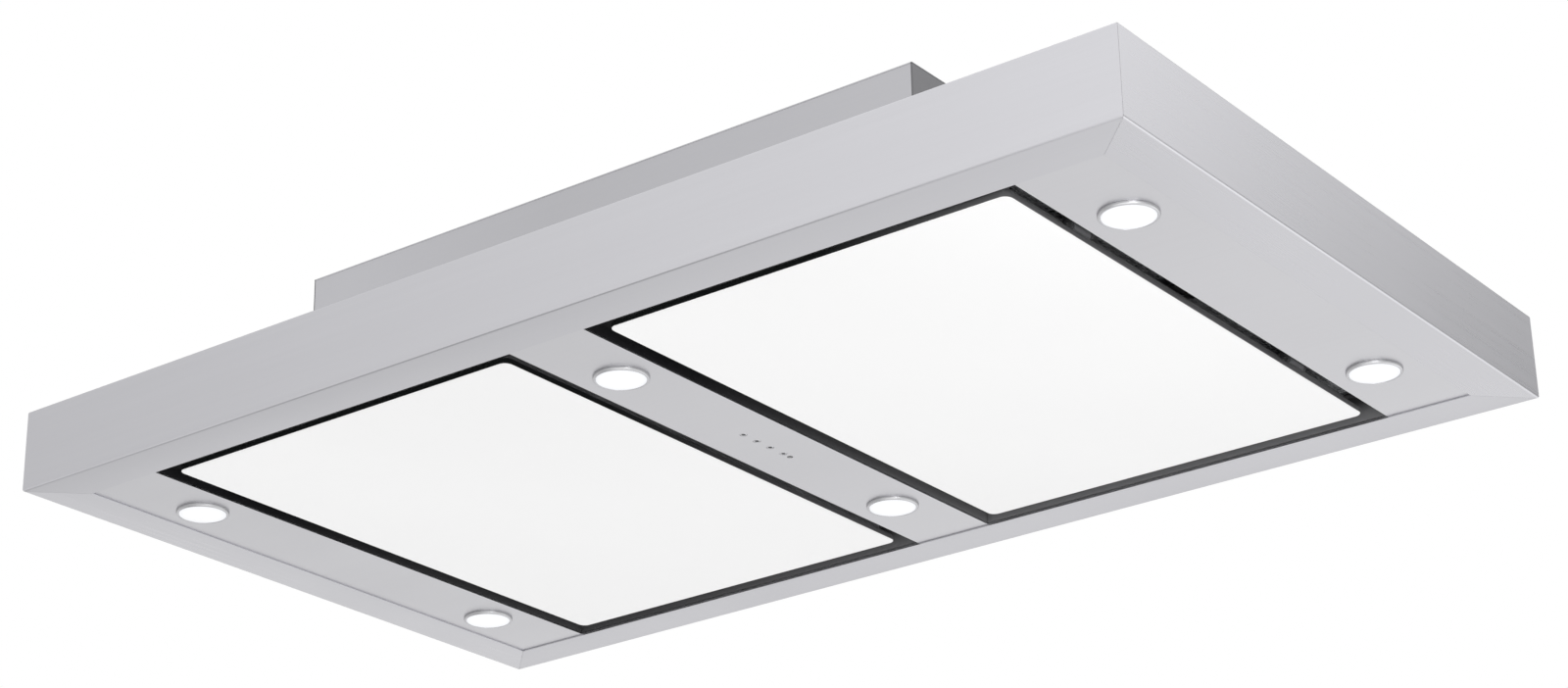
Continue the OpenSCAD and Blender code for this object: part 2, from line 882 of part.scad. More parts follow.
// Impeller: shroud ring, blades, back plate and the cup that goes round the motor
module impeller() {
    eye_r = throat_r + ring_flange_t + eye_gap;
    cup_r = motor_r + cup_gap;
    top_z = back_z + blade_t;
    color("#3a3c40") translate(fan_at) difference() {
        union() {
            difference() {
                plate_between(shroud_z, top_z)
                    for (i = [0 : blade_count - 1]) rotate(turn * i / blade_count) blade_outline();
                disc(eye_r, shroud_z - cut_over, deck_z + bell_r + throat_gap);
            }
            difference() {
                disc(impeller_r, shroud_z, shroud_z + blade_t);
                disc(eye_r, shroud_z - cut_over, shroud_z + blade_t + cut_over);
            }
            difference() {
                union() {
                    disc(impeller_r, back_z, top_z);
                    disc(cup_r + cup_t, cup_z, top_z);
                }
                disc(cup_r, cup_z + cup_t, top_z + cut_over);
            }
            disc(hub_r, cup_z - hub_down, cup_z + cup_t + hub_up);
        }
        disc(shaft_r, cup_z - hub_down - cut_over, cup_z + cup_t + hub_up + cut_over);
    }
}

module impeller_shaft() {
    color("#c4c6ca") translate(fan_at) disc(shaft_r, cup_z - hub_down, motor_z + shaft_up);
}

// White glass panel with round corners
module glass_panel() {
    translate([opening_x, 0, 0]) plate_between(glass_z, glass_top_z)
        round_rect(glass_l, glass_w, glass_corner_r);
}

module glass_left() {
    color("white") on_side(-1) glass_panel();
}

module glass_right() {
    color("white") on_side(1) glass_panel();
}

// Places of the two hinges of a panel
module at_hinges() {
    for (y = [-hinge_pitch / 2, hinge_pitch / 2]) translate([hinge_x, y, hinge_z]) children();
}

// Steel tray bonded to the back of the glass, with its ribs and hinge knuckles
module panel_tray() {
    in_x = glass_in_x + tray_inset;
    y = glass_w / 2 - tray_inset;
    difference() {
        union() {
            difference() {
                block([in_x, -y, glass_top_z], [tray_out_x, y, tray_top_z]);
                block(
                    [in_x + tray_t, tray_t - y, glass_top_z + tray_t],
                    [tray_out_x - tray_t, y - tray_t, tray_top_z + cut_over]
                );
            }
            for (end = [-1, 1]) translate([0, end * y / 4, 0]) block(
                [in_x, -rib_w / 2, glass_top_z],
                [tray_out_x, rib_w / 2, glass_top_z + tray_h / 2]
            );
            at_hinges() {
                pin_cylinder(knuckle_r, -knuckle_l / 2, knuckle_l / 2);
                block(
                    [tray_out_x - hinge_x - tray_t, -knuckle_l / 2, -knuckle_r / 2],
                    [0, knuckle_l / 2, knuckle_r / 2]
                );
            }
        }
        at_hinges() pin_cylinder(hinge_pin_r + run_gap, -hinge_half, hinge_half);
    }
}

module panel_tray_left() {
    color("#77797d") on_side(-1) panel_tray();
}

module panel_tray_right() {
    color("#77797d") on_side(1) panel_tray();
}

// Bracket on the well wall: two ears hang from an arm that passes above the edge of the glass
module hinge_brackets() {
    color("#6c6e72") for (side = [-1, 1]) on_side(side) at_hinges() difference() {
        union() {
            for (end = [-1, 1]) on_end(end) {
                pin_cylinder(knuckle_r, hinge_half - ear_t, hinge_half);
                block([-knuckle_r, hinge_half - ear_t, 0], [knuckle_r, hinge_half, arm_z - hinge_z]);
            }
            block(
                [-knuckle_r, -hinge_half, arm_z - hinge_z],
                [well_out_x - hinge_x, hinge_half, arm_top_z - hinge_z]
            );
            block(
                [well_out_x - hinge_x - foot_t, -hinge_half, arm_top_z - hinge_z - foot_drop],
                [well_out_x - hinge_x, hinge_half, arm_top_z - hinge_z]
            );
        }
        pin_cylinder(hinge_pin_r, -hinge_half - cut_over, hinge_half + cut_over);
    }
}

module hinge_pins() {
    color("#c4c6ca") for (side = [-1, 1]) on_side(side) at_hinges()
        pin_cylinder(hinge_pin_r, -hinge_half, hinge_half);
}

// The two magnets of a panel, in the inner edge of its tray
module panel_magnets() {
    for (y = [-magnet_pitch / 2, magnet_pitch / 2]) translate([magnet_x, y, 0])
        disc(magnet_r, tray_top_z - magnet_h, tray_top_z);
}

module panel_magnets_left() {
    color("#3f4145") on_side(-1) panel_magnets();
}

module panel_magnets_right() {
    color("#3f4145") on_side(1) panel_magnets();
}

// Steel angles on the well wall that the magnets hold to
module magnet_keepers() {
    z = tray_top_z + seat_gap;
    color("#8f9296") for (side = [-1, 1]) on_side(side)
        for (y = [-magnet_pitch / 2, magnet_pitch / 2]) translate([0, y, 0]) {
            block([well_in_x, -keeper_w / 2, z], [magnet_x + magnet_r, keeper_w / 2, z + keeper_t]);
            block([well_in_x, -keeper_w / 2, z], [well_in_x + keeper_t, keeper_w / 2, z + keeper_foot_h]);
        }
}

// Block in the bar of the filter that houses the latch
module latch_block(grow) {
    block(
        [opening_x - latch_block_w / 2 - grow, filter_y0, filter_z],
        [opening_x + latch_block_w / 2 + grow, filter_y0 + latch_block_l + grow, filter_top_z]
    );
}

// Aluminium frame of a filter: a channel all round with a housing for the latch bolt
module filter_frame() {
    groove = filter_rim - groove_d;
    difference() {
        union() {
            difference() {
                block([filter_x0, filter_y0, filter_z], [filter_x1, filter_y1, filter_top_z]);
                block(
                    [filter_x0 + filter_rim, filter_y0 + filter_rim, filter_z - cut_over],
                    [filter_x1 - filter_rim, filter_y1 - filter_rim, filter_top_z + cut_over]
                );
                block(
                    [filter_x0 + groove, filter_y0 + groove, filter_z + filter_skin],
                    [filter_x1 - groove, filter_y1 - groove, filter_top_z - filter_skin]
                );
            }
            latch_block(0);
        }
        block(
            [opening_x - bolt_w / 2 - latch_gap, filter_y0 - cut_over, bolt_z - latch_gap],
            [
                opening_x + bolt_w / 2 + latch_gap,
                filter_y0 + latch_block_l - filter_skin,
                bolt_z + bolt_t + latch_gap
            ]
        );
        block(
            [opening_x - stem_w / 2 - latch_gap, filter_y0 + stem_inset - latch_gap, filter_z - cut_over],
            [
                opening_x + stem_w / 2 + latch_gap,
                filter_y0 + stem_inset + stem_l + latch_travel + latch_gap,
                bolt_z
            ]
        );
    }
}

module filter_frame_left_front() {
    color("#b9bcc0") on_quarter(-1, -1) filter_frame();
}

module filter_frame_left_back() {
    color("#b9bcc0") on_quarter(-1, 1) filter_frame();
}

module filter_frame_right_front() {
    color("#b9bcc0") on_quarter(1, -1) filter_frame();
}

module filter_frame_right_back() {
    color("#b9bcc0") on_quarter(1, 1) filter_frame();
}

// Mesh pack of a filter, pressed into folds along Y
module filter_mesh() {
    groove = filter_rim - groove_d;
    low = filter_z + filter_skin;
    high = filter_top_z - filter_skin;
    x0 = filter_x0 + groove;
    l = filter_x1 - groove - x0;
    open_x0 = filter_x0 + filter_rim;
    pitch = (filter_x1 - filter_rim - open_x0) / fold_count;
    depth = (high - low) / 4;
    difference() {
        block([x0, filter_y0 + groove, low], [x0 + l, filter_y1 - groove, high]);
        latch_block(seat_gap);
        for (i = [0 : fold_count - 1]) translate([open_x0 + pitch * i, 0, 0]) {
            block(
                [0, filter_y0 + latch_block_l + 2 * edge_gap, low - cut_over],
                [pitch / 2, filter_y1 - filter_rim, low + depth]
            );
            block(
                [pitch / 2, filter_y0 + latch_block_l + 2 * edge_gap, high - depth],
                [pitch, filter_y1 - filter_rim, high + cut_over]
            );
        }
    }
}

module filter_mesh_left() {
    color("#a4a7ab") for (end = [-1, 1]) on_quarter(-1, end) filter_mesh();
}

module filter_mesh_right() {
    color("#a4a7ab") for (end = [-1, 1]) on_quarter(1, end) filter_mesh();
}

// Sliding latch of a filter: bolt, stem, handle plate and finger pull
module filter_latch() {
    handle_top = filter_z - latch_gap;
    y = filter_y0 + edge_gap;
    translate([opening_x, 0, 0]) {
        block(
            [-bolt_w / 2, filter_y0 - bolt_tip, bolt_z],
            [bolt_w / 2, filter_y0 + bolt_in_l, bolt_z + bolt_t]
        );
        block(
            [-stem_w / 2, filter_y0 + stem_inset, handle_top - handle_t],
            [stem_w / 2, filter_y0 + stem_inset + stem_l, bolt_z + bolt_t]
        );
        block([-bolt_w / 2, y, handle_top - handle_t], [bolt_w / 2, y + handle_l, handle_top]);
        block(
            [-bolt_w / 2, y + handle_l - pull_t, handle_top - handle_t - pull_h],
            [bolt_w / 2, y + handle_l, handle_top]
        );
    }
}

module filter_latch_left_front() {
    color("#2a2b2e") on_quarter(-1, -1) filter_latch();
}

module filter_latch_left_back() {
    color("#2a2b2e") on_quarter(-1, 1) filter_latch();
}

module filter_latch_right_front() {
    color("#2a2b2e") on_quarter(1, -1) filter_latch();
}

module filter_latch_right_back() {
    color("#2a2b2e") on_quarter(1, 1) filter_latch();
}

// Points of a coil along Y: rings of a round wire at each step of the helix
function coil_points(length, radius) = let (steps = spring_turns * spring_steps, run = length - 2 * wire_r)
    [for (i = [0 : steps]) let (a = turn * i / spring_steps, y = wire_r + run * i / steps)
        for (j = [0 : spring_sides - 1])
            let (b = turn * j / spring_sides, r = radius - wire_r + wire_r * cos(b))
                [r * cos(a), y + wire_r * sin(b), r * sin(a)]];

// One spring as a single tube
module coil(length, radius) {
    steps = spring_turns * spring_steps;
    n = spring_sides;
    sides = [for (i = [0 : steps - 1], j = [0 : n - 1]) let (k = (j + 1) % n)
        each [[i * n + j, i * n + k, (i + 1) * n + j], [i * n + k, (i + 1) * n + k, (i + 1) * n + j]]];
    ends = [for (j = [1 : n - 2]) each [[0, j + 1, j], [steps * n, steps * n + j, steps * n + j + 1]]];
    polyhedron(points = coil_points(length, radius), faces = concat(sides, ends));
}

module latch_springs() {
    color("#c4c6ca") for (side = [-1, 1], end = [-1, 1]) on_quarter(side, end)
        translate([opening_x, filter_y0 + bolt_in_l + latch_gap, bolt_z + bolt_t / 2])
            coil(spring_l, spring_r);
}

// Turned bezel: a sloped rim with a recess for the lens below the plate, and a neck through it
module spot_bezels() {
    color("#c6c6ca") at_spots() rotate_extrude() polygon([
        [spot_open_r, bezel_z], [bezel_r - bezel_slope, bezel_z], [bezel_r, bezel_z + bezel_slope],
        [bezel_r, flange_z], [neck_r, flange_z], [neck_r, neck_top_z], [neck_in_r, neck_top_z],
        [neck_in_r, lens_top_z], [spot_open_r, lens_top_z]
    ]);
}

module spot_lenses() {
    color("#ffffff") at_spots() disc(spot_open_r - lens_gap, lens_z, lens_top_z);
}

// Finned body of each spot
module spot_bodies() {
    fins = floor((spot_top_z - neck_top_z) / (fin_t + fin_gap));
    color("#8d9094") at_spots() {
        disc(neck_in_r - lens_gap, lens_top_z, neck_top_z);
        disc(spot_body_r - fin_in, neck_top_z, spot_top_z);
        for (i = [0 : fins - 1]) translate([0, 0, i * (fin_t + fin_gap)])
            disc(spot_body_r, neck_top_z, neck_top_z + fin_t);
        disc(spot_body_r, spot_top_z - fin_t, spot_top_z);
    }
}

// Two leaf springs that hold each spot to the plate
module spot_clips() {
    r = spot_body_r + seat_gap;
    z = plate_z + seat_gap;
    color("#c4c6ca") at_spots() for (side = [-1, 1]) on_side(side)
        translate([0, clip_w / 2, 0]) rotate([quarter, 0, 0]) linear_extrude(height = clip_w) polygon([
            [r, z + clip_rise], [r + clip_t, z + clip_rise + clip_t], [r + clip_out, z + clip_t],
            [r + clip_out + clip_t, z], [r + clip_out - clip_t, z], [r + clip_t, z + clip_rise - clip_t],
            [r + clip_t, z + clip_t], [r, z + clip_t]
        ]);
}

// Driver of the spots, on the base plate above the left strip
module led_driver() {
    x = driver_w / 2;
    y = driver_l / 2;
    lid = driver_lid_t;
    color("#e6e6e2") translate([-side_strip_x, 0, 0]) {
        block([-x, -y, plate_z], [x, y, plate_z + driver_h - lid]);
        block([lid - x, lid - y, plate_z], [x - lid, y - lid, plate_z + driver_h]);
        block([-x, -y - driver_tab_l, plate_z], [x, y + driver_tab_l, plate_z + lid]);
    }
}

// Places of the posts that hold the control board
module at_board_posts() {
    inset = 2 * board_post_r;
    for (x = [-1, 1], y = [-1, 1])
        translate([x * (board_w / 2 - inset), housing_y + y * (board_l / 2 - inset), 0]) children();
}

// Cover over the controls, open towards the base plate
module control_housing() {
    top_z = plate_z + housing_h;
    color("#2a2b2e") {
        translate([0, housing_y, 0]) difference() {
            block([-housing_w / 2, -housing_l / 2, plate_z], [housing_w / 2, housing_l / 2, top_z]);
            block(
                [housing_t - housing_w / 2, housing_t - housing_l / 2, plate_z - cut_over],
                [housing_w / 2 - housing_t, housing_l / 2 - housing_t, top_z - housing_t]
            );
        }
        at_board_posts() disc(board_post_r, board_z + board_t, top_z - housing_t / 2);
    }
}

// Board with one switch above each button and the receiver above its window
module control_board() {
    half = switch_w / 2;
    color("#2f6b3d") {
        translate([0, housing_y, 0])
            block([-board_w / 2, -board_l / 2, board_z], [board_w / 2, board_l / 2, board_z + board_t]);
        for (i = [0 : button_count - 1]) at_button(i)
            block([-half, -half, switch_z], [half, half, board_z]);
        translate([0, window_y, 0]) block([-half, -half, switch_z], [half, half, board_z]);
    }
}

// Round button: the cap fills its hole and a flange keeps it behind the plate
module button(i) {
    at_button(i) {
        disc(button_r, button_z, button_z + cap_h);
        disc(cap_flange_r, plate_z + seat_gap, plate_z + seat_gap + cap_flange_t);
    }
}

module button_1() {
    color("#c0c2c6") button(0);
}

module button_2() {
    color("#c0c2c6") button(1);
}

module button_3() {
    color("#c0c2c6") button(2);
}

module button_4() {
    color("#c0c2c6") button(3);
}

module receiver_window() {
    color("#1a1014") translate([0, window_y, 0]) {
        disc(window_r, button_z, plate_z + cap_flange_t);
        disc(window_r + window_flange, plate_z, plate_z + cap_flange_t);
    }
}

// Case of the power electronics on the deck, open below, with vents in its lid
module power_box() {
    color("#d9dadb") translate([power_x0, power_y0, deck_z]) difference() {
        cube([power_l, power_w, power_h]);
        block(
            [power_wall, power_wall, -cut_over],
            [power_l - power_wall, power_w - power_wall, power_h - power_wall]
        );
        for (i = [0 : vent_count - 1]) let (x = power_l / 2 + (i - (vent_count - 1) / 2) * vent_pitch)
            block(
                [x - vent_w / 2, power_w / 4, power_h - power_wall / 2],
                [x + vent_w / 2, power_w * 3 / 4, power_h + cut_over]
            );
    }
}

// Board in the power box: a sheet on four feet, with the choke, capacitor and relays
module power_board() {
    in = power_wall + edge_gap;
    h = board_foot_h;
    color("#2f6b3d") translate([power_x0, power_y0, deck_z]) {
        block([in, in, h], [power_l - in, power_w - in, h + board_t]);
        for (x = [in, power_l - in - h], y = [in, power_w - in - h]) translate([x, y, 0]) cube([h, h, h]);
        translate([power_l / 3, power_w / 3, 0]) disc(choke_r, h, h + choke_h);
        for (i = [0 : 1]) translate([power_l / 2, power_w / 2 + i * (relay.y + relay_gap), h]) cube(relay);
    }
}

// Body of the cable gland through the back of the box: hexagon, neck and thread
module cable_gland() {
    color("#3a3b3e") translate([gland_x, box_w / 2, -gland_drop]) rotate([-quarter, 0, 0]) difference() {
        union() {
            disc(gland_r, -box_t - gland_in, gland_out);
            cylinder(r = gland_nut_r, h = gland_nut_t, $fn = hex_sides);
        }
        disc(gland_bore_r, -box_t - gland_in - cut_over, gland_out + cut_over);
    }
}

// Lock nut of the gland inside the box
module gland_nut() {
    color("#3a3b3e") translate([gland_x, box_w / 2 - box_t, -gland_drop]) rotate([quarter, 0, 0])
        difference() {
            cylinder(r = gland_nut_r, h = gland_nut_t, $fn = hex_sides);
            disc(gland_r, -cut_over, gland_nut_t + cut_over);
        }
}

// Round lead along straight runs with rounded corners
module lead(points) {
    for (i = [1 : len(points) - 1]) let (run = points[i] - points[i - 1])
        translate(points[i - 1]) rotate([0, acos(run.z / norm(run)), atan2(run.y, run.x)])
            cylinder(r = lead_r, h = norm(run));
    if (len(points) > 2) for (i = [1 : len(points) - 2]) translate(points[i]) sphere(lead_r);
}

// Leads between the gland, the power box, the motor, the spot driver and the controls
module wiring() {
    low_z = deck_z + lead_lift;
    trunk_z = deck_under_z - trunk_drop;
    motor_turn_x = impeller_r + bracket_arm_w - fan_x;
    motor_top_z = bracket_z + bracket_t;
    terminal_x = bracket_arm_w - fan_x;
    gland_y = box_w / 2 - box_t - gland_in;
    driver_y = driver_l / 3;
    color("#8a8c90") {
        lead([
            [gland_x, gland_y, -gland_drop], [gland_x, lead_y, -gland_drop],
            [gland_x, lead_y, low_z], [power_x0, lead_y, low_z]
        ]);
        lead([
            [power_x0, motor_lead_y, low_z], [motor_turn_x, motor_lead_y, low_z],
            [motor_turn_x, 0, low_z], [motor_turn_x, 0, motor_top_z + lead_lift],
            [terminal_x, 0, motor_top_z + lead_lift], [terminal_x, 0, motor_top_z]
        ]);
        lead([
            [trunk_x, power_y0, low_z], [trunk_x, trunk_y, low_z], [trunk_x, trunk_y, trunk_z],
            [-side_strip_x, trunk_y, trunk_z], [-side_strip_x, driver_y, trunk_z],
            [-side_strip_x, driver_y, plate_z + driver_h]
        ]);
        lead([
            [0, trunk_y, trunk_z], [0, housing_l / 3, trunk_z], [0, housing_l / 3, plate_z + housing_h]
        ]);
    }
}

// Pan-head screw that points down from the height given
module screw(z, length) {
    disc(head_r, z, z + head_t);
    disc(screw_r, z - length, z + head_t);
}

// Screws of the box foot, the inlet ring, the collar and the motor bracket
module screws() {
    color("#d2d4d6") {
        at_foot_screws() screw(deck_z + box_t, screw_l);
        at_ring_screws() screw(deck_z + ring_flange_t, screw_l);
        at_collar_screws() mirror([0, 0, 1])
            screw(collar_flange_t - box_in_z, collar_flange_t + box_t - sheet_gap);
        at_posts() screw(bracket_z + bracket_t, bracket_t + rubber_t + screw_l);
    }
}

surround_front();
surround_back();
surround_left();
surround_right();
corner_brackets();
base_plate();
suction_well_left();
suction_well_right();
top_plate();
upper_box();
mounting_rails();
duct_collar();
damper_flap_left();
damper_flap_right();
damper_pin();
inlet_ring();
fan_posts();
rubber_mounts();
motor_bracket();
motor();
impeller();
impeller_shaft();
glass_left();
glass_right();
panel_tray_left();
panel_tray_right();
hinge_brackets();
hinge_pins();
panel_magnets_left();
panel_magnets_right();
magnet_keepers();
filter_frame_left_front();
filter_frame_left_back();
filter_frame_right_front();
filter_frame_right_back();
filter_mesh_left();
filter_mesh_right();
filter_latch_left_front();
filter_latch_left_back();
filter_latch_right_front();
filter_latch_right_back();
latch_springs();
spot_bezels();
spot_lenses();
spot_bodies();
spot_clips();
led_driver();
control_housing();
control_board();
button_1();
button_2();
button_3();
button_4();
receiver_window();
power_box();
power_board();
cable_gland();
gland_nut();
wiring();
screws();
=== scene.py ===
"""Finishes, fine shapes, light and camera of the ceiling range hood, in metres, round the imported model."""
import json
import math

import bmesh
import bpy
import numpy as np
from mathutils import Matrix, Vector

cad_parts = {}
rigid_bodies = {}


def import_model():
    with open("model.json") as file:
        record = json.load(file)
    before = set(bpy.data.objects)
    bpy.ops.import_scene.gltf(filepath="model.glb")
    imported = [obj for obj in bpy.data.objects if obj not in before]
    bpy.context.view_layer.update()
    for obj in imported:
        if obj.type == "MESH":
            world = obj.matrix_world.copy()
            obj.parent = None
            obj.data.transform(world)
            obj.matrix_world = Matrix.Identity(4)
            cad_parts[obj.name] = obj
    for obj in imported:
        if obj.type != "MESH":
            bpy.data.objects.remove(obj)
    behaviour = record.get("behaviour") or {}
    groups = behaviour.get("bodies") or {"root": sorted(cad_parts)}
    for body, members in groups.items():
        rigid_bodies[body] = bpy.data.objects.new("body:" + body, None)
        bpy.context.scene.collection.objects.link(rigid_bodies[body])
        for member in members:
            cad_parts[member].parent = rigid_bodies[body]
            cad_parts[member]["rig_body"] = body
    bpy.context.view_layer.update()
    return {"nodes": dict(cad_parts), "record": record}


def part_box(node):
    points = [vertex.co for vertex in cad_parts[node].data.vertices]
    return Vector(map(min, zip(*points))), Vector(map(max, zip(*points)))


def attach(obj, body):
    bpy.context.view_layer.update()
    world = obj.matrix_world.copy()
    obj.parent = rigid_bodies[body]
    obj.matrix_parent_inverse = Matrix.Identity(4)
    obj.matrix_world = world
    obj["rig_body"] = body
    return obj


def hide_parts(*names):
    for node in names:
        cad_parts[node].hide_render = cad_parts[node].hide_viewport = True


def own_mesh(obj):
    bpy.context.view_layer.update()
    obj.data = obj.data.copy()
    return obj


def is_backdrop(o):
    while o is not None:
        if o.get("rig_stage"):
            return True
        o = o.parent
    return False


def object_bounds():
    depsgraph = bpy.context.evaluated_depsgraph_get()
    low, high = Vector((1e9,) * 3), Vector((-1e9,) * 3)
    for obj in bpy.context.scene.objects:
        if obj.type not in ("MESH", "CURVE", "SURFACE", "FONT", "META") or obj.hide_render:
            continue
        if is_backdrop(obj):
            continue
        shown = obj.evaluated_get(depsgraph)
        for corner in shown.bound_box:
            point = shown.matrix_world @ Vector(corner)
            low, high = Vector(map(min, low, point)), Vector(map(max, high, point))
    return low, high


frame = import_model()
MM = 0.001
MERGE = 1e-6


# Sockets and nodes

class Wire:
    """The output of a shader node. A sum, difference, product or comparison adds its Math node."""

    def __init__(self, paint, socket):
        self.paint = paint
        self.socket = socket

    def math(self, operation, *values):
        """A Math node on wires and numbers."""
        return self.paint.node("ShaderNodeMath", {"operation": operation}, dict(enumerate(values)))

    def __add__(self, other):
        return self.math("ADD", self, other)

    def __radd__(self, other):
        return self.math("ADD", other, self)

    def __sub__(self, other):
        return self.math("SUBTRACT", self, other)

    def __rsub__(self, other):
        return self.math("SUBTRACT", other, self)

    def __mul__(self, other):
        return self.math("MULTIPLY", self, other)

    def __rmul__(self, other):
        return self.math("MULTIPLY", other, self)

    def __gt__(self, other):
        return self.math("GREATER_THAN", self, other)

    def __lt__(self, other):
        return self.math("LESS_THAN", self, other)

    def limited(self, least=0.0, most=1.0):
        """The wire's value, kept between two limits."""
        return self.math("MINIMUM", self.math("MAXIMUM", self, least), most)


class Nodes:
    """The nodes of one material or world."""

    def __init__(self, tree):
        self.tree = tree

    def node(self, kind, settings=None, inputs=None, output=0):
        """Adds a node: its settings first, then the values or wires of its inputs; gives one output."""
        made = self.tree.nodes.new(kind)
        for name, value in (settings or {}).items():
            if name == "stops":
                self.set_stops(made.color_ramp.elements, value)
            else:
                setattr(made, name, value)
        for name, value in (inputs or {}).items():
            self.feed(made.inputs[name], value)
        return Wire(self, made.outputs[output])

    def feed(self, socket, value):
        """Links a wire to an input, or sets the input's own value."""
        if isinstance(value, Wire):
            self.tree.links.new(value.socket, socket)
        else:
            socket.default_value = value

    def set_stops(self, elements, stops):
        """Gives a colour ramp its stops, each a place and a colour."""
        while len(elements) < len(stops):
            elements.new(1.0)
        for element, (place, colour) in zip(elements, stops):
            element.position = place
            element.color = (*colour, 1.0)


class Paint(Nodes):
    """A procedural material on a Principled shader, whose fixed values are set on its own sockets."""

    def __init__(self, name, **fixed):
        self.material = bpy.data.materials.new(name)
        self.material.use_nodes = True
        super().__init__(self.material.node_tree)
        self.shader = self.tree.nodes["Principled BSDF"]
        for socket, value in fixed.items():
            self.shader.inputs[socket.replace("_", " ")].default_value = value

    def set(self, socket, value):
        self.feed(self.shader.inputs[socket], value)

    def place(self, scale=(1, 1, 1)):
        """Object coordinates, stretched so that noise drawn on them runs along the small numbers."""
        here = self.node("ShaderNodeTexCoord", output="Object")
        return self.node("ShaderNodeMapping", None, {"Vector": here, "Scale": scale})

    def noise(self, scale, place, detail=2.0, roughness=0.5):
        """Soft clouds between 0 and 1."""
        values = {"Vector": place, "Scale": scale, "Detail": detail, "Roughness": roughness}
        return self.node("ShaderNodeTexNoise", None, values)

    def wander(self, scale, place, amount):
        """A place moved a little by noise, so that straight borders turn uneven."""
        values = {"Vector": place, "Scale": scale, "Detail": 2.0}
        cloud = self.node("ShaderNodeTexNoise", None, values, "Color")
        offset = self.node("ShaderNodeVectorMath", {"operation": "SCALE"}, {0: cloud, "Scale": amount})
        return self.node("ShaderNodeVectorMath", {"operation": "ADD"}, {0: place, 1: offset})

    def radius(self):
        """Distance from the middle of the piece's own UV map: 1 at the rim."""
        here = self.node("ShaderNodeTexCoord", output="UV")
        return self.node("ShaderNodeVectorMath", {"operation": "LENGTH"}, {0: here}, "Value")

    def cells(self, scale, place, output="Distance"):
        """Cells round scattered points: the distance from the nearest, or its own colour."""
        values = {"Vector": place, "Scale": scale}
        return self.node("ShaderNodeTexVoronoi", {"feature": "F1"}, values, output)

    def axis(self, vector, output):
        """One coordinate of a vector: X, Y or Z."""
        return self.node("ShaderNodeSeparateXYZ", None, {"Vector": vector}, output)

    def ramp(self, factor, *stops):
        return self.node("ShaderNodeValToRGB", {"stops": stops}, {"Fac": factor})

    def mix(self, factor, first, second):
        """A colour between two colours."""
        values = {0: factor, 6: self.colour(first), 7: self.colour(second)}
        return self.node("ShaderNodeMix", {"data_type": "RGBA"}, values, 2)

    def colour(self, value):
        return value if isinstance(value, Wire) else (*value, 1.0)

    def shades(self, factor, colour, spread):
        """Colours between a darker and a lighter shade of one colour."""
        dark = tuple(c * (1 - spread) for c in colour)
        light = tuple(min(1.0, c * (1 + spread)) for c in colour)
        return self.mix(factor, dark, light)

    def bump(self, height, distance, strength=1.0):
        """Fine relief, whose full height is a distance in metres."""
        values = {"Height": height, "Distance": distance, "Strength": strength}
        self.set("Normal", self.node("ShaderNodeBump", None, values))


# Finishes

# Brushed metal: lines and streaks in a metre, and how much coarser they are along the sheet
BRUSH_LINES = 1500
STREAKS = 170
ALONG_SHARE = 0.004
# The upper box: painted shade on its ends, a tint of its sides and, from a place along X to the left,
# painted light on its left
END_PAINTED_SHADE = 0.4
FRONT_TINT = 1.05
PAINTED_LIGHT_TINT = 1.21
PAINTED_LIGHT_FROM = -0.05
PAINTED_LIGHT_GAIN = 4.0
# The gaps round the glass: where their painted light makes them greyer, and how fast, over a metre
RIGHT_FROM = 0.28
RIGHT_GAIN = 5.0
BACK_FROM = -0.15
BACK_LEFT = -0.8
BACK_GAIN = 2.4
DEEP_GAIN = 100.0
PEEL_SCALE = 700.0
PEEL_DEPTH = 0.05 * MM
WELL_SPECULAR = 0.18
WELL_ROUGHNESS = 0.5
LENS_GLOW = 0.58
LENS_SHADE = 0.42
CAP_RINGS = 90.0
PAD_BLACK = (0.035, 0.035, 0.038)
SOLDER = (0.7, 0.7, 0.68)
TRACK_TINT = 1.7


def paler(colour, times):
    """A colour made paler, or darker where times is below 1."""
    return tuple(c * times for c in colour)


def painted_light_back_right(paint, here):
    """The share of painted light in the gaps round the glass: between 0 and 1, it grows over the hood
    towards its right and its back.
    """
    x = paint.axis(here, "X")
    y = paint.axis(here, "Y")
    right = ((x - RIGHT_FROM) * RIGHT_GAIN).limited()
    back = ((y - BACK_FROM) * (x - BACK_LEFT) * BACK_GAIN).limited()
    return right.math("MAXIMUM", right, back)


def brushed_metal(name, colour, along, roughness, spread=0.05, line_depth=0.03 * MM, painted_shade_ends=None):
    """Metal brushed along one axis: fine lines and broader streaks, with faint clouds in the gloss.
    Past a distance from the middle along X, where one is given, painted shade makes the sheet darker,
    and between those ends painted light makes it paler to the left."""
    paint = Paint(name, Metallic=1.0)
    stretch = [1.0, 1.0, 1.0]
    stretch[along] = ALONG_SHARE
    place = paint.place(stretch)
    lines = paint.noise(BRUSH_LINES, place, 3.0, 0.6)
    streaks = paint.noise(STREAKS, place, 2.0)
    clouds = paint.noise(5.0, paint.place(), 3.0)
    grain = lines * 0.55 + streaks * 0.45
    steel = paint.shades(grain, colour, spread)
    if painted_shade_ends:
        # painted shade darkens the box past its ends, and painted light makes it paler to the left
        x = paint.axis(paint.place(), "X")
        left = (PAINTED_LIGHT_FROM - x) * PAINTED_LIGHT_GAIN
        plain = paint.shades(grain, paler(colour, FRONT_TINT), spread)
        pale = paint.shades(grain, paler(colour, PAINTED_LIGHT_TINT), spread)
        shaded_end_mask = x.math("ABSOLUTE", x) > painted_shade_ends
        steel = paint.mix(left.limited(), plain, pale)
        steel = paint.mix(shaded_end_mask, steel, paler(colour, END_PAINTED_SHADE))
    paint.set("Base Color", steel)
    paint.set("Roughness", grain * 0.16 + clouds * 0.1 + (roughness - 0.13))
    paint.bump(grain, line_depth, 0.35)
    return paint.material


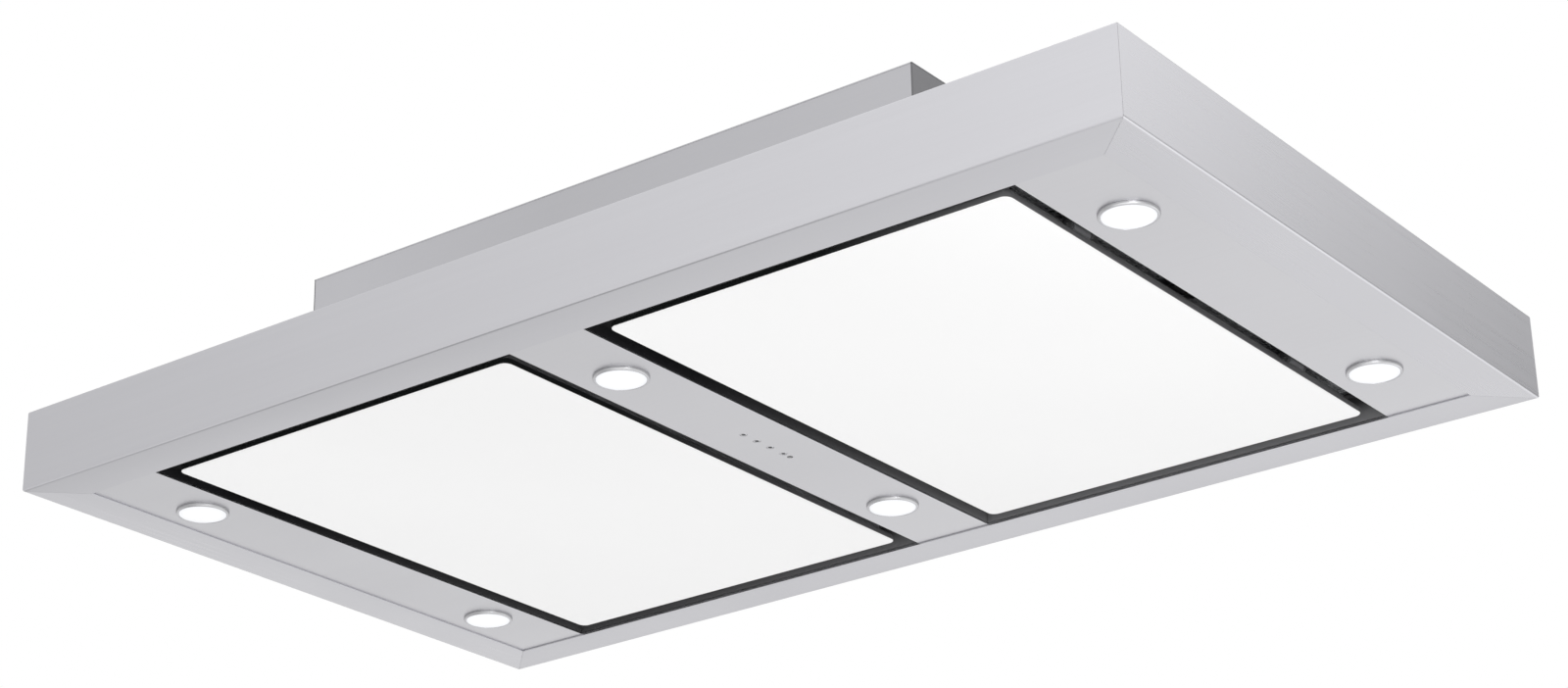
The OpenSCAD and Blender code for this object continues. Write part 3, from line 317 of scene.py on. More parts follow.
def galvanised_sheet(name, colour, roughness):
    """Zinc-coated sheet: crystals of slightly different grey, each with its own gloss and frost."""
    paint = Paint(name, Metallic=1.0)
    here = paint.place()
    crystal = paint.axis(paint.cells(75.0, paint.wander(30.0, here, 12 * MM), "Color"), "X")
    frost = paint.noise(900.0, here, 3.0)
    paint.set("Base Color", paint.shades(crystal * 0.8 + frost * 0.2, colour, 0.1))
    paint.set("Roughness", crystal * 0.16 + frost * 0.08 + (roughness - 0.12))
    paint.bump(crystal * 0.5 + frost * 0.5, 0.02 * MM, 0.4)
    return paint.material


def powder_skin(paint, here, roughness, peel):
    """The orange-peel skin of baked powder paint, with fine specks in its gloss; gives the specks."""
    peel_noise = paint.noise(PEEL_SCALE, here, 2.0)
    dust = paint.noise(60.0, here, 4.0, 0.6)
    paint.set("Roughness", peel_noise * 0.12 + dust * 0.1 + (roughness - 0.11))
    paint.bump(peel_noise, peel, 0.6)
    return dust


def powder_coat(name, colour, roughness, peel=PEEL_DEPTH):
    """Baked powder paint of one colour."""
    paint = Paint(name)
    dust = powder_skin(paint, paint.place(), roughness, peel)
    paint.set("Base Color", paint.shades(dust, colour, 0.16))
    return paint.material


def well_black(name, colour, grey, inside_grey, mouth_z):
    """Matt black powder paint in the gaps, with painted light that turns it greyer towards the back right
    corner of the hood, and plain grey paint deeper inside the wells."""
    paint = Paint(name, Specular_IOR_Level=WELL_SPECULAR)
    here = paint.place()
    dust = powder_skin(paint, here, WELL_ROUGHNESS, PEEL_DEPTH)
    # painted light: the black of the mouth turns grey towards the back right
    mouth = paint.mix(painted_light_back_right(paint, here), paint.shades(dust, colour, 0.16), grey)
    deep = ((paint.axis(here, "Z") - mouth_z) * DEEP_GAIN).limited()
    paint.set("Base Color", paint.mix(deep, mouth, paint.shades(dust, inside_grey, 0.1)))
    return paint.material


def moulded_plastic(name, colour, roughness):
    """Moulded plastic with the fine spark-eroded grain of its tool."""
    paint = Paint(name)
    here = paint.place()
    pits = paint.cells(1600.0, here)
    flow = paint.noise(25.0, here, 3.0)
    paint.set("Base Color", paint.shades(flow, colour, 0.08))
    paint.set("Roughness", pits * 0.1 + flow * 0.08 + (roughness - 0.08))
    paint.bump(pits, 0.04 * MM, 0.5)
    return paint.material


def bright_metal(name, colour, roughness, tint=(1.0, 1.0, 1.0), metal=1.0):
    """Bright plated metal: a clear shine with faint clouds of the plating and fine wear. Where metal
    is below 1, the many small folds of a mesh scatter part of the light."""
    paint = Paint(name, Metallic=metal)
    here = paint.place()
    clouds = paint.noise(45.0, here, 3.0)
    wear = paint.noise(700.0, here, 3.0, 0.65)
    tinted = tuple(c * t for c, t in zip(colour, tint))
    paint.set("Base Color", paint.mix(clouds, colour, tinted))
    paint.set("Roughness", wear * 0.12 + clouds * 0.06 + (roughness - 0.09))
    paint.bump(wear, 0.01 * MM, 0.3)
    return paint.material


def turned_metal(name, colour, roughness, rings, wall_painted_shade_colour, wall_share):
    """Metal turned on a lathe: fine rings about the middle of each piece's own UV map. Past a share
    of the radius its outer wall carries painted shade, a darker grey."""
    paint = Paint(name, Metallic=1.0)
    radius = paint.radius()
    ring = radius.math("SINE", radius * rings) * 0.5 + 0.5
    clouds = paint.noise(300.0, paint.place(), 3.0)
    grain = ring * 0.5 + clouds * 0.5
    # painted shade on the outer wall
    wall = radius > wall_share
    paint.set("Base Color", paint.mix(wall, paint.shades(grain, colour, 0.05), wall_painted_shade_colour))
    paint.set("Roughness", grain * 0.14 + wall * 0.1 + (roughness - 0.07))
    paint.bump(grain, 0.01 * MM, 0.4)
    return paint.material


def cast_metal(name, colour, roughness):
    """Die-cast aluminium with its sandy skin."""
    paint = Paint(name, Metallic=0.9)
    here = paint.place()
    sand = paint.noise(1100.0, here, 4.0, 0.6)
    flow = paint.noise(35.0, here, 2.0)
    paint.set("Base Color", paint.shades(sand * 0.5 + flow * 0.5, colour, 0.14))
    paint.set("Roughness", sand * 0.16 + (roughness - 0.08))
    paint.bump(sand, 0.06 * MM, 0.7)
    return paint.material


def back_painted_glass(name, colour, edge_painted_shade_colour, edge_painted_light_grey, edge_z):
    """White paint seen through clear glass. Its ground edges carry painted shade, black so that only a gap
    shows, and painted light that greys them towards the back right of the hood.
    """
    paint = Paint(name, IOR=1.5, Coat_Roughness=0.02, Coat_IOR=1.5)
    here = paint.place()
    height = paint.axis(here, "Z")
    edge = height > edge_z
    haze = paint.noise(4.0, here, 3.0)
    smudge = paint.noise(26.0, here, 4.0, 0.6)
    face = paint.shades(haze, colour, 0.012)
    # painted shade on the ground edges, with painted light towards the back right
    rim = paint.mix(painted_light_back_right(paint, here), edge_painted_shade_colour, edge_painted_light_grey)
    paint.set("Base Color", paint.mix(edge, face, rim))
    paint.set("Roughness", smudge * 0.1 + 0.28)
    paint.set("Coat Weight", 1.0 - smudge * 0.08)
    return paint.material


def lit_lens(name, colour):
    """Frosted lens lit from behind: brightest over the chip, softer towards its rim. Its own colour
    is held down, so that its light and the studio's together stay below white."""
    paint = Paint(name, IOR=1.49, Emission_Strength=LENS_GLOW)
    radius = paint.radius()
    glow = paint.ramp(
        radius, (0.0, (1.0, 1.0, 1.0)), (0.8, (0.97, 0.98, 1.0)), (1.0, (0.86, 0.88, 0.92)),
    )
    frost = paint.noise(1500.0, paint.place(), 2.0)
    paint.set("Base Color", paint.shades(frost, paler(colour, LENS_SHADE), 0.03))
    paint.set("Roughness", frost * 0.2 + 0.25)
    paint.set("Emission Color", glow)
    return paint.material


def button_cap(name, colour, dot_share):
    """Satin turned cap with a dark pad in its middle."""
    paint = Paint(name)
    radius = paint.radius()
    dot = radius < dot_share
    ring = radius.math("SINE", radius * CAP_RINGS) * 0.5 + 0.5
    paint.set("Base Color", paint.mix(dot, paint.shades(ring, colour, 0.06), PAD_BLACK))
    paint.set("Metallic", 1.0 - dot)
    paint.set("Roughness", ring * 0.08 + dot * 0.25 + 0.26)
    paint.bump(ring, 0.01 * MM, 0.3)
    return paint.material


def dark_window(name, colour):
    """Dark tinted window of the receiver, with a faint haze."""
    paint = Paint(name, IOR=1.5, Coat_Roughness=0.02)
    haze = paint.noise(400.0, paint.place(), 3.0)
    paint.set("Base Color", paint.shades(haze, colour, 0.25))
    paint.set("Roughness", haze * 0.1 + 0.12)
    paint.set("Coat Weight", 1.0 - haze * 0.1)
    return paint.material


def lacquered_board(name, colour):
    """Green board: paler tracks under the lacquer and bright solder spots."""
    paint = Paint(name, IOR=1.5)
    here = paint.place()
    tracks = paint.node(
        "ShaderNodeTexBrick", {"offset": 0.5, "squash": 1.0},
        {"Vector": here, "Scale": 1.0, "Brick Width": 9 * MM, "Row Height": 3 * MM,
         "Mortar Size": 0.5 * MM, "Mortar Smooth": 0.1},
        "Fac",
    )
    solder = paint.cells(260.0, here) < 0.16
    green = paint.mix(tracks, colour, paler(colour, TRACK_TINT))
    paint.set("Base Color", paint.mix(solder, green, SOLDER))
    paint.set("Metallic", solder * 1.0)
    paint.set("Roughness", 0.34 - solder * 0.1)
    paint.bump(tracks * 0.5 + solder * 1.0, 0.05 * MM, 0.5)
    return paint.material


def ribbed_rubber(name, colour, roughness):
    """Matt rubber or soft sheath with a fine bloom."""
    paint = Paint(name, Specular_IOR_Level=0.3)
    here = paint.place()
    bloom = paint.noise(160.0, here, 4.0, 0.6)
    skin = paint.noise(2200.0, here, 2.0)
    paint.set("Base Color", paint.shades(bloom, colour, 0.2))
    paint.set("Roughness", bloom * 0.12 + (roughness - 0.06))
    paint.bump(skin, 0.02 * MM, 0.5)
    return paint.material


SLOT_COLOUR = {m["slot"]: tuple(m["base_color"][:3]) for m in frame["record"]["materials"]}
# The box's end sheets stand inside its feet, where its painted shade starts, and the gaps' painted shade and
# painted light start just over the glass
BOX_FOOT = 14 * MM
END_SHEET = 1.3 * MM
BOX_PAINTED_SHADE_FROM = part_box("upper_box")[1].x - BOX_FOOT - END_SHEET
GLASS_LOW_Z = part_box("glass_left")[0].z
GLASS_EDGE_Z = GLASS_LOW_Z + 0.5 * MM
MOUTH_Z = GLASS_LOW_Z + 10 * MM
STEEL_TINT = (1.0, 0.996, 1.009)
GLASS_TINT = (1.01, 0.997, 0.997)
GAP_PAINTED_LIGHT = (0.2, 0.2, 0.206)
EDGE_PAINTED_LIGHT = (0.18, 0.18, 0.185)
EDGE_PAINTED_SHADE = (0.012, 0.014, 0.014)
INSIDE_GREY = (0.07, 0.07, 0.072)
BEZEL_RINGS = 240.0
BEZEL_WALL_PAINTED_SHADE = (0.54, 0.54, 0.55)
BEZEL_WALL_FROM = 0.98
PAD_SHARE = 0.6


def own_colour(slot, tint=(1.0, 1.0, 1.0)):
    """The colour that the record gives a material slot, with a faint tint of the photograph's light."""
    return tuple(c * t for c, t in zip(SLOT_COLOUR[slot], tint))


FINISH = {
    "surround_steel": brushed_metal("surround_steel", own_colour("surround_steel", STEEL_TINT), 0, 0.34),
    "surround_steel_across": brushed_metal(
        "surround_steel_across", own_colour("surround_steel", STEEL_TINT), 1, 0.29, 0.03, 0.008 * MM,
    ),
    "base_steel": brushed_metal("base_steel", own_colour("base_steel", STEEL_TINT), 0, 0.33),
    "box_steel": brushed_metal(
        "box_steel", own_colour("box_steel", STEEL_TINT), 0, 0.36, painted_shade_ends=BOX_PAINTED_SHADE_FROM,
    ),
    "galvanised": galvanised_sheet("galvanised", own_colour("galvanised"), 0.42),
    "black_metal": well_black("black_metal", own_colour("black_metal"), GAP_PAINTED_LIGHT, INSIDE_GREY, MOUTH_Z),
    "damper_sheet": brushed_metal("damper_sheet", own_colour("damper_sheet"), 1, 0.3, 0.03),
    "bright_steel": bright_metal("bright_steel", own_colour("bright_steel"), 0.26, (1.0, 0.97, 0.9)),
    "fan_black": powder_coat("fan_black", own_colour("fan_black"), 0.42),
    "motor_grey": powder_coat("motor_grey", own_colour("motor_grey"), 0.45),
    "black_rubber": ribbed_rubber("black_rubber", own_colour("black_rubber"), 0.8),
    "white_glass": back_painted_glass(
        "white_glass", own_colour("white_glass", GLASS_TINT), EDGE_PAINTED_SHADE, EDGE_PAINTED_LIGHT, GLASS_EDGE_Z,
    ),
    "tray_metal": powder_coat("tray_metal", paler(own_colour("tray_metal"), 1.5), 0.46, 0.03 * MM),
    "magnet": cast_metal("magnet", own_colour("magnet"), 0.55),
    "filter_aluminium": brushed_metal("filter_aluminium", own_colour("filter_aluminium"), 0, 0.38),
    "filter_mesh": bright_metal("filter_mesh", paler(own_colour("filter_mesh"), 1.25), 0.4, metal=0.3),
    "latch_plastic": moulded_plastic("latch_plastic", own_colour("latch_plastic"), 0.5),
    "bezel_steel": turned_metal(
        "bezel_steel", own_colour("bezel_steel"), 0.3, BEZEL_RINGS, BEZEL_WALL_PAINTED_SHADE, BEZEL_WALL_FROM,
    ),
    "spot_lens": lit_lens("spot_lens", own_colour("spot_lens")),
    "heat_sink": cast_metal("heat_sink", own_colour("heat_sink"), 0.5),
    "white_case": moulded_plastic("white_case", own_colour("white_case"), 0.45),
    "black_plastic": moulded_plastic("black_plastic", own_colour("black_plastic"), 0.48),
    "circuit_board": lacquered_board("circuit_board", own_colour("circuit_board")),
    "button_steel": button_cap("button_steel", own_colour("button_steel"), PAD_SHARE),
    "dark_window": dark_window("dark_window", own_colour("dark_window")),
    "lead_sheath": ribbed_rubber("lead_sheath", own_colour("lead_sheath"), 0.6),
}
SLOT_OF = {part["node"]: part["material_slot"] for part in frame["record"]["subparts"]}
FINISH_OF = {node: FINISH[slot] for node, slot in SLOT_OF.items()}
FINISH_OF["surround_left"] = FINISH["surround_steel_across"]
FINISH_OF["surround_right"] = FINISH["surround_steel_across"]

for node, thing in frame["nodes"].items():
    thing.data.materials.clear()
    thing.data.materials.append(FINISH_OF[node])


# Meshes

# Degrees between faces that are shaded smooth, joined as one flat face, or rounded between them
SMOOTH_ANGLE = 38.0
FLAT_ANGLE = 0.5
BEVEL_ANGLE = 40.0
ALONG_FOLD = 0.9


def quads(rows, columns, wrap_rows=False, wrap_columns=False):
    """Corner numbers of the quads between neighbouring rows and columns of a grid of points."""
    r = np.arange(rows if wrap_rows else rows - 1)
    c = np.arange(columns if wrap_columns else columns - 1)
    r, c = np.meshgrid(r, c, indexing="ij")
    r2 = (r + 1) % rows
    c2 = (c + 1) % columns
    corners = [r * columns + c, r * columns + c2, r2 * columns + c2, r2 * columns + c]
    return np.stack(corners, -1).reshape(-1, 4)


class Shape:
    """Surfaces gathered for one piece, each a grid of points (rows, columns, 3)."""

    def __init__(self):
        self.points = []
        self.faces = []
        self.uvs = []
        self.count = 0

    def grid(self, points, wrap_rows=False, wrap_columns=False, uv=None, caps=False):
        """Adds a grid; caps close its first and last row with one flat face each."""
        rows, columns = points.shape[:2]
        self.faces += (quads(rows, columns, wrap_rows, wrap_columns) + self.count).tolist()
        if caps:
            self.faces.append((np.arange(columns) + self.count).tolist())
            self.faces.append((np.arange(columns)[::-1] + self.count + (rows - 1) * columns).tolist())
        self.points.append(points.reshape(-1, 3))
        self.uvs.append(np.zeros((rows * columns, 2)) if uv is None else uv.reshape(-1, 2))
        self.count += rows * columns

    def piece(self, name, node, mapped=False):
        """Makes the piece that stands for a node, with the UV map of its surfaces where it is mapped."""
        mesh = bpy.data.meshes.new(name)
        mesh.from_pydata(np.concatenate(self.points).tolist(), [], self.faces)
        if mapped:
            ring = np.zeros(len(mesh.loops), np.int32)
            mesh.loops.foreach_get("vertex_index", ring)
            layer = mesh.uv_layers.new(name="UVMap")
            layer.data.foreach_set("uv", np.concatenate(self.uvs)[ring].astype(np.float32).ravel())
        return finish_piece(name, mesh, node)


def finish_piece(name, mesh, node):
    """Merges doubles, which closes the poles, turns faces outwards, shades smooth up to an angle and
    lets the piece ride on the body of its node and stand for it."""
    work = bmesh.new()
    work.from_mesh(mesh)
    bmesh.ops.remove_doubles(work, verts=work.verts, dist=MERGE)
    bmesh.ops.recalc_face_normals(work, faces=work.faces)
    work.to_mesh(mesh)
    work.free()
    mesh.shade_smooth()
    mesh.set_sharp_from_angle(angle=math.radians(SMOOTH_ANGLE))
    mesh.materials.append(FINISH_OF[node])
    piece = bpy.data.objects.new(name, mesh)
    bpy.context.scene.collection.objects.link(piece)
    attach(piece, frame["nodes"][node]["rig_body"])
    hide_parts(node)
    return piece


def arc(centre, radius, start, end, steps=5):
    """Points on a circle round a centre (across, up), between two angles in degrees."""
    a = np.radians(np.linspace(start, end, steps))
    return np.stack([centre[0] + radius * np.cos(a), centre[1] + radius * np.sin(a)], -1)


def turned(profile, sides, centre=(0, 0, 0), radius_at=None):
    """Profile of (radius r, height z) turned about Z: (r cos a, r sin a, z). radius_at bends r by a."""
    profile = np.asarray(profile, float)
    a = np.linspace(0, 2 * math.pi, sides, endpoint=False)
    r = profile[:, :1] * np.ones(sides)
    z = profile[:, 1:] * np.ones(sides)
    if radius_at is not None:
        r = radius_at(r, a, profile[:, 1:])
    return np.stack([r * np.cos(a), r * np.sin(a), z], -1) + np.asarray(centre, float)


def flat_uv(points, centre, radius):
    """UV of a round piece seen along Z: its middle at 0, its rim at a length of 1."""
    return (points[..., :2] - np.asarray(centre, float)[:2]) / radius


def cad_triangles(node):
    """The points of a CAD node and the three corner numbers of each of its loose triangles."""
    source = frame["nodes"][node].data
    points = np.zeros(len(source.vertices) * 3)
    source.vertices.foreach_get("co", points)
    corners = np.zeros(len(source.loops), np.int32)
    source.loops.foreach_get("vertex_index", corners)
    return points.reshape(-1, 3), corners.reshape(-1, 3)


def solid_boxes(node):
    """Lowest and highest corner of each separate solid of a node. Triangles that share a place share
    the least of their numbers, again and again until nothing changes: one number for each solid."""
    points, corners = cad_triangles(node)
    rounded = np.round(points / MERGE).astype(np.int64)
    places, place_of = np.unique(rounded, axis=0, return_inverse=True)
    place_of = place_of.ravel()
    triangles = place_of[corners]
    number = np.arange(len(places))
    before = None
    while before is None or (before != number).any():
        before = number.copy()
        np.minimum.at(number, triangles, before[triangles].min(1)[:, None])
    owner = number[place_of]
    solids = [points[owner == solid] for solid in np.unique(owner)]
    boxes = [(solid.min(0), solid.max(0)) for solid in solids]
    return sorted(boxes, key=lambda b: tuple(np.round((b[0] + b[1]) / 2, 4)))


def mark_folds(mesh, axis):
    """Gives a bevel weight to the sharp edges that run along an axis, and to no other edge."""
    ends = np.zeros(len(mesh.edges) * 2, np.int32)
    mesh.edges.foreach_get("vertices", ends)
    places = np.zeros(len(mesh.vertices) * 3)
    mesh.vertices.foreach_get("co", places)
    runs = np.diff(places.reshape(-1, 3)[ends.reshape(-1, 2)], axis=1)[:, 0]
    along = np.abs(runs[:, axis]) > ALONG_FOLD * np.linalg.norm(runs, axis=1)
    sharp = np.zeros(len(mesh.edges), bool)
    mesh.edges.foreach_get("use_edge_sharp", sharp)
    weights = mesh.attributes.new("bevel_weight_edge", "FLOAT", "EDGE")
    weights.data.foreach_set("value", (along & sharp).astype(np.float32))


def softened(node, width, segments=2, fold_axis=None):
    """A copy of a CAD node with its corners merged, its flat faces joined and its edges rounded. Where
    the sheet is folded along an axis, only its sharp edges along it are, so that the mitres stay shut."""
    points, corners = cad_triangles(node)
    mesh = bpy.data.meshes.new(node + "_soft")
    mesh.from_pydata(points.tolist(), [], corners.tolist())
    work = bmesh.new()
    work.from_mesh(mesh)
    bmesh.ops.remove_doubles(work, verts=work.verts, dist=MERGE)
    flat = math.radians(FLAT_ANGLE)
    bmesh.ops.dissolve_limit(work, angle_limit=flat, verts=work.verts, edges=work.edges)
    work.to_mesh(mesh)
    work.free()
    bevel = finish_piece(node + "_soft", mesh, node).modifiers.new("edge", "BEVEL")
    bevel.width = width
    bevel.segments = segments
    if fold_axis is None:
        bevel.limit_method = "ANGLE"
        bevel.angle_limit = math.radians(BEVEL_ANGLE)
    else:
        mark_folds(mesh, fold_axis)
        bevel.limit_method = "WEIGHT"
        bevel.harden_normals = True


# Glass panels

GLASS_CORNER = 8 * MM
GLASS_ROUND = 0.9 * MM
CORNER_STEPS = 8
ROUND_STEPS = 6


def rounded_outline(length, width, inset):
    """Points round a rectangle with round corners, drawn in by an inset all round."""
    x = length / 2 - GLASS_CORNER
    y = width / 2 - GLASS_CORNER
    quarters = [((x, y), 0), ((-x, y), 90), ((-x, -y), 180), ((x, -y), 270)]
    return np.concatenate([
        arc(centre, GLASS_CORNER - inset, a, a + 90, CORNER_STEPS) for centre, a in quarters
    ])


def glass_panel(node):
    """A plate whose edge is ground to a round of radius e: rings drawn in by e(1 - sin b), e(1 - cos b)
    away from the lower face and then from the upper one."""
    low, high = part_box(node)
    size = high - low
    middle = (low + high) / 2
    b = np.radians(np.linspace(0, 90, ROUND_STEPS))
    inset = GLASS_ROUND * (1 - np.sin(b))
    rise = GLASS_ROUND * (1 - np.cos(b))
    heights = np.concatenate([low.z + rise, (high.z - rise)[::-1]])
    grid = []
    for drawn_in, z in zip(np.concatenate([inset, inset[::-1]]), heights):
        outline = rounded_outline(size.x, size.y, drawn_in)
        grid.append(np.column_stack([outline + [middle.x, middle.y], np.full(len(outline), z)]))
    shape = Shape()
    shape.grid(np.array(grid), wrap_columns=True, caps=True)
    shape.piece(node + "_ground", node)


for side in ("left", "right"):
    glass_panel("glass_" + side)


# Spots

LIT_R = 22.4 * MM
NECK_R = 21.5 * MM
NECK_IN_R = 19.9 * MM
BEZEL_DROP = 3 * MM
BEZEL_SHELF = 2 * MM
LIP_ROUND = 0.4 * MM
RIM_ROUND = 1.8 * MM
RIM_CUT = 0.2 * MM
NECK_CUT = 0.3 * MM
BEZEL_SIDES = 72
PRISM_RISE = 0.25 * MM
PRISM_PITCH = 2 * MM
LENS_RINGS = 45
LENS_SIDES = 48


def spot_bezels():
    """Closed profile of each bezel turned about its axis: rounded lip and rim, shelf of the lens, neck."""
    shape = Shape()
    for low, high in solid_boxes("spot_bezels"):
        middle = (low + high) / 2
        rim = (high[0] - low[0]) / 2
        z0, z1 = low[2], high[2]
        plate = z0 + BEZEL_DROP
        shelf = z0 + BEZEL_SHELF
        profile = np.concatenate([
            arc((LIT_R + LIP_ROUND, z0 + LIP_ROUND), LIP_ROUND, 180, 260, 4),
            arc((rim - RIM_ROUND, z0 + RIM_ROUND), RIM_ROUND, 275, 350, 7),
            [(rim, plate - RIM_CUT), (rim - RIM_CUT, plate), (NECK_R, plate)],
            [(NECK_R, z1 - NECK_CUT), (NECK_R - NECK_CUT, z1), (NECK_IN_R, z1)],
            [(NECK_IN_R, shelf), (LIT_R, shelf)],
        ])
        grid = turned(profile, BEZEL_SIDES, (middle[0], middle[1], 0))
        shape.grid(grid, wrap_rows=True, wrap_columns=True, uv=flat_uv(grid, middle, rim))
    shape.piece("spot_bezels_turned", "spot_bezels", mapped=True)


def spot_lenses():
    """Each lens turned from fine prism rings: its lower face rises and falls once in every pitch, as
    h (1 - |2 (r / p mod 1) - 1|), but not in the flat rim, one pitch wide."""
    shape = Shape()
    for low, high in solid_boxes("spot_lenses"):
        middle = (low + high) / 2
        radius = (high[0] - low[0]) / 2
        r = np.linspace(0, radius, LENS_RINGS)
        wave = PRISM_RISE * (1 - np.abs((r / PRISM_PITCH) % 1 * 2 - 1)) * (r < radius - PRISM_PITCH)
        lower = np.column_stack([r, low[2] + wave])
        upper = np.column_stack([[radius, 0.0], [high[2], high[2]]])
        grid = turned(np.concatenate([lower, upper]), LENS_SIDES, (middle[0], middle[1], 0))
        shape.grid(grid, wrap_columns=True, uv=flat_uv(grid, middle, radius))
    shape.piece("spot_lenses_ringed", "spot_lenses", mapped=True)


spot_bezels()
spot_lenses()


# Controls

CAP_R = 3.25 * MM
CAP_STEP = 1.8 * MM
CAP_ROUND = 0.45 * MM
DISH_SHARE = 0.86
DISH_DEPTH = 0.35 * MM
FLANGE_T = 1 * MM
WINDOW_R = 2.6 * MM
WINDOW_RISE = 0.5 * MM
CONTROL_SIDES = 40


def button(node):
    """Cap turned about Z: a face dished as z = z0 + d (1 - (r / R)^2), a rounded rim, and the flange
    behind the plate."""
    low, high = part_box(node)
    middle = (low + high) / 2
    flange = (high.x - low.x) / 2
    step = low.z + CAP_STEP
    dish = np.linspace(0, DISH_SHARE, 7)
    face = np.column_stack([dish * CAP_R, low.z + DISH_DEPTH * (1 - (dish / DISH_SHARE) ** 2)])
    profile = np.concatenate([
        face,
        arc((CAP_R - CAP_ROUND, low.z + CAP_ROUND), CAP_ROUND, 275, 360),
        [(CAP_R, step), (flange, step), (flange, step + FLANGE_T), (CAP_R, step + FLANGE_T)],
        [(CAP_R, high.z), (0, high.z)],
    ])
    grid = turned(profile, CONTROL_SIDES, (middle.x, middle.y, 0))
    shape = Shape()
    shape.grid(grid, wrap_columns=True, uv=flat_uv(grid, middle, CAP_R))
    shape.piece(node + "_cap", node, mapped=True)


def receiver_window():
    """Window turned about Z: a shallow dome over a flange, z = z0 + h (r / R)^2."""
    low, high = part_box("receiver_window")
    middle = (low + high) / 2
    flange = (high.x - low.x) / 2
    r = np.linspace(0, WINDOW_R, 8)
    dome = np.column_stack([r, low.z + WINDOW_RISE * (r / WINDOW_R) ** 2])
    step = high.z - FLANGE_T
    profile = np.concatenate([dome, [(WINDOW_R, step), (flange, step), (flange, high.z), (0, high.z)]])
    shape = Shape()
    shape.grid(turned(profile, CONTROL_SIDES, (middle.x, middle.y, 0)), wrap_columns=True)
    shape.piece("receiver_window_domed", "receiver_window")


for number in range(1, 5):
    button(f"button_{number}")
receiver_window()


# Filters

# Expanded metal below, its long way along X, and a sheet folded in waves above
LONG_WAY = 12 * MM
SHORT_WAY = 6 * MM
STRAND_W = 1.0 * MM
STRAND_T = 0.45 * MM
STRAND_CLIMB = 0.5 * MM
MESH_INSET = 2 * MM
MESH_GAP = 0.1 * MM
FOLD_WAVES = 34
FOLD_STEPS = 8
FOLD_MIDDLE = 0.58
FOLD_SWING = 0.3
FOLD_SHEET_T = 0.5 * MM


def expanded_layer(shape, low, high, z):
    """Expanded metal: each strand zigzags along X as s/4 tri(x), mirrored from row to row so that
    neighbours meet, and climbs by a small height between its knots."""
    half = LONG_WAY / 2
    span = (high[0] - low[0]) / half
    columns = int(span)
    knots = np.arange(columns + 1)
    x = low[0] + (knots + 0.5 * (span - columns)) * half
    rows = int((high[1] - low[1]) / (SHORT_WAY / 2)) - 1
    swing = SHORT_WAY / 4 * np.where(knots % 2, 1.0, -1.0)
    across, up = STRAND_W / 2, STRAND_T
    section = [(-across, 0.0), (across, 0.0), (across, up), (-across, up)]
    for row in range(rows):
        sign = 1 if row % 2 else -1
        y = low[1] + SHORT_WAY / 2 * (row + 1) + sign * swing
        lift = z + STRAND_CLIMB * np.where((knots + row) % 2, 1.0, 0.0)
        grid = np.array([np.column_stack([x, y + dy, lift + dz]) for dy, dz in section])
        shape.grid(grid.transpose(1, 0, 2), wrap_columns=True, caps=True)


def filter_mesh(side):
    """Mesh packs of one side: expanded metal below, a corrugated sheet z = c + a sin(2 pi n u) above,
    where u runs from 0 to 1 along X."""
    node = "filter_mesh_" + side
    shape = Shape()
    for low, high in solid_boxes(node):
        inset = np.array([MESH_INSET, MESH_INSET, 0])
        expanded_layer(shape, low + inset, high - inset, low[2] + MESH_GAP)
        thickness = high[2] - low[2]
        u = np.linspace(0, 1, FOLD_WAVES * FOLD_STEPS + 1)
        x = low[0] + (high[0] - low[0]) * u
        wave = np.sin(2 * math.pi * FOLD_WAVES * u)
        z = low[2] + thickness * FOLD_MIDDLE + thickness * FOLD_SWING * wave
        under = np.array([np.column_stack([x, np.full_like(x, y), z]) for y in (low[1], high[1])])
        over = under + [0, 0, FOLD_SHEET_T]
        grid = np.array([under[0], under[1], over[1], over[0]])
        shape.grid(grid.transpose(1, 0, 2), wrap_columns=True, caps=True)
    shape.piece(node + "_layers", node)


for side in ("left", "right"):
    filter_mesh(side)


# Latch springs

SPRING_WIRE_R = 0.25 * MM
SPRING_TURNS = 8
SPRING_STEPS = 24
WIRE_SIDES = 8
LATCH_TRAVEL = 6.5 * MM


def latch_spring(low, high):
    """Coil along Y: the wire's middle runs as (R cos a, y0 + p a, R sin a), and its skin lies
    w (cos b outwards + sin b along Y) round that."""
    middle = (low + high) / 2
    side = "left" if middle[0] < 0 else "right"
    end = "front" if middle[1] < 0 else "back"
    coil_r = (high[0] - low[0]) / 2 - SPRING_WIRE_R
    a = np.linspace(0, 2 * math.pi * SPRING_TURNS, SPRING_TURNS * SPRING_STEPS + 1)[:, None]
    b = np.linspace(0, 2 * math.pi, WIRE_SIDES, endpoint=False)[None, :]
    run = np.linspace(low[1] + SPRING_WIRE_R, high[1] - SPRING_WIRE_R, len(a))[:, None]
    outwards = coil_r + SPRING_WIRE_R * np.cos(b)
    grid = np.stack([
        middle[0] + outwards * np.cos(a),
        run + SPRING_WIRE_R * np.sin(b),
        middle[2] + outwards * np.sin(a),
    ], -1)
    shape = Shape()
    shape.grid(grid, wrap_columns=True, caps=True)
    piece = shape.piece(f"latch_spring_{side}_{end}", "latch_springs")
    fixed_y = low[1] if end == "front" else high[1]
    share = 1 - LATCH_TRAVEL / (high[1] - low[1])
    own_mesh(piece)


for low, high in solid_boxes("latch_springs"):
    latch_spring(low, high)


# Screws

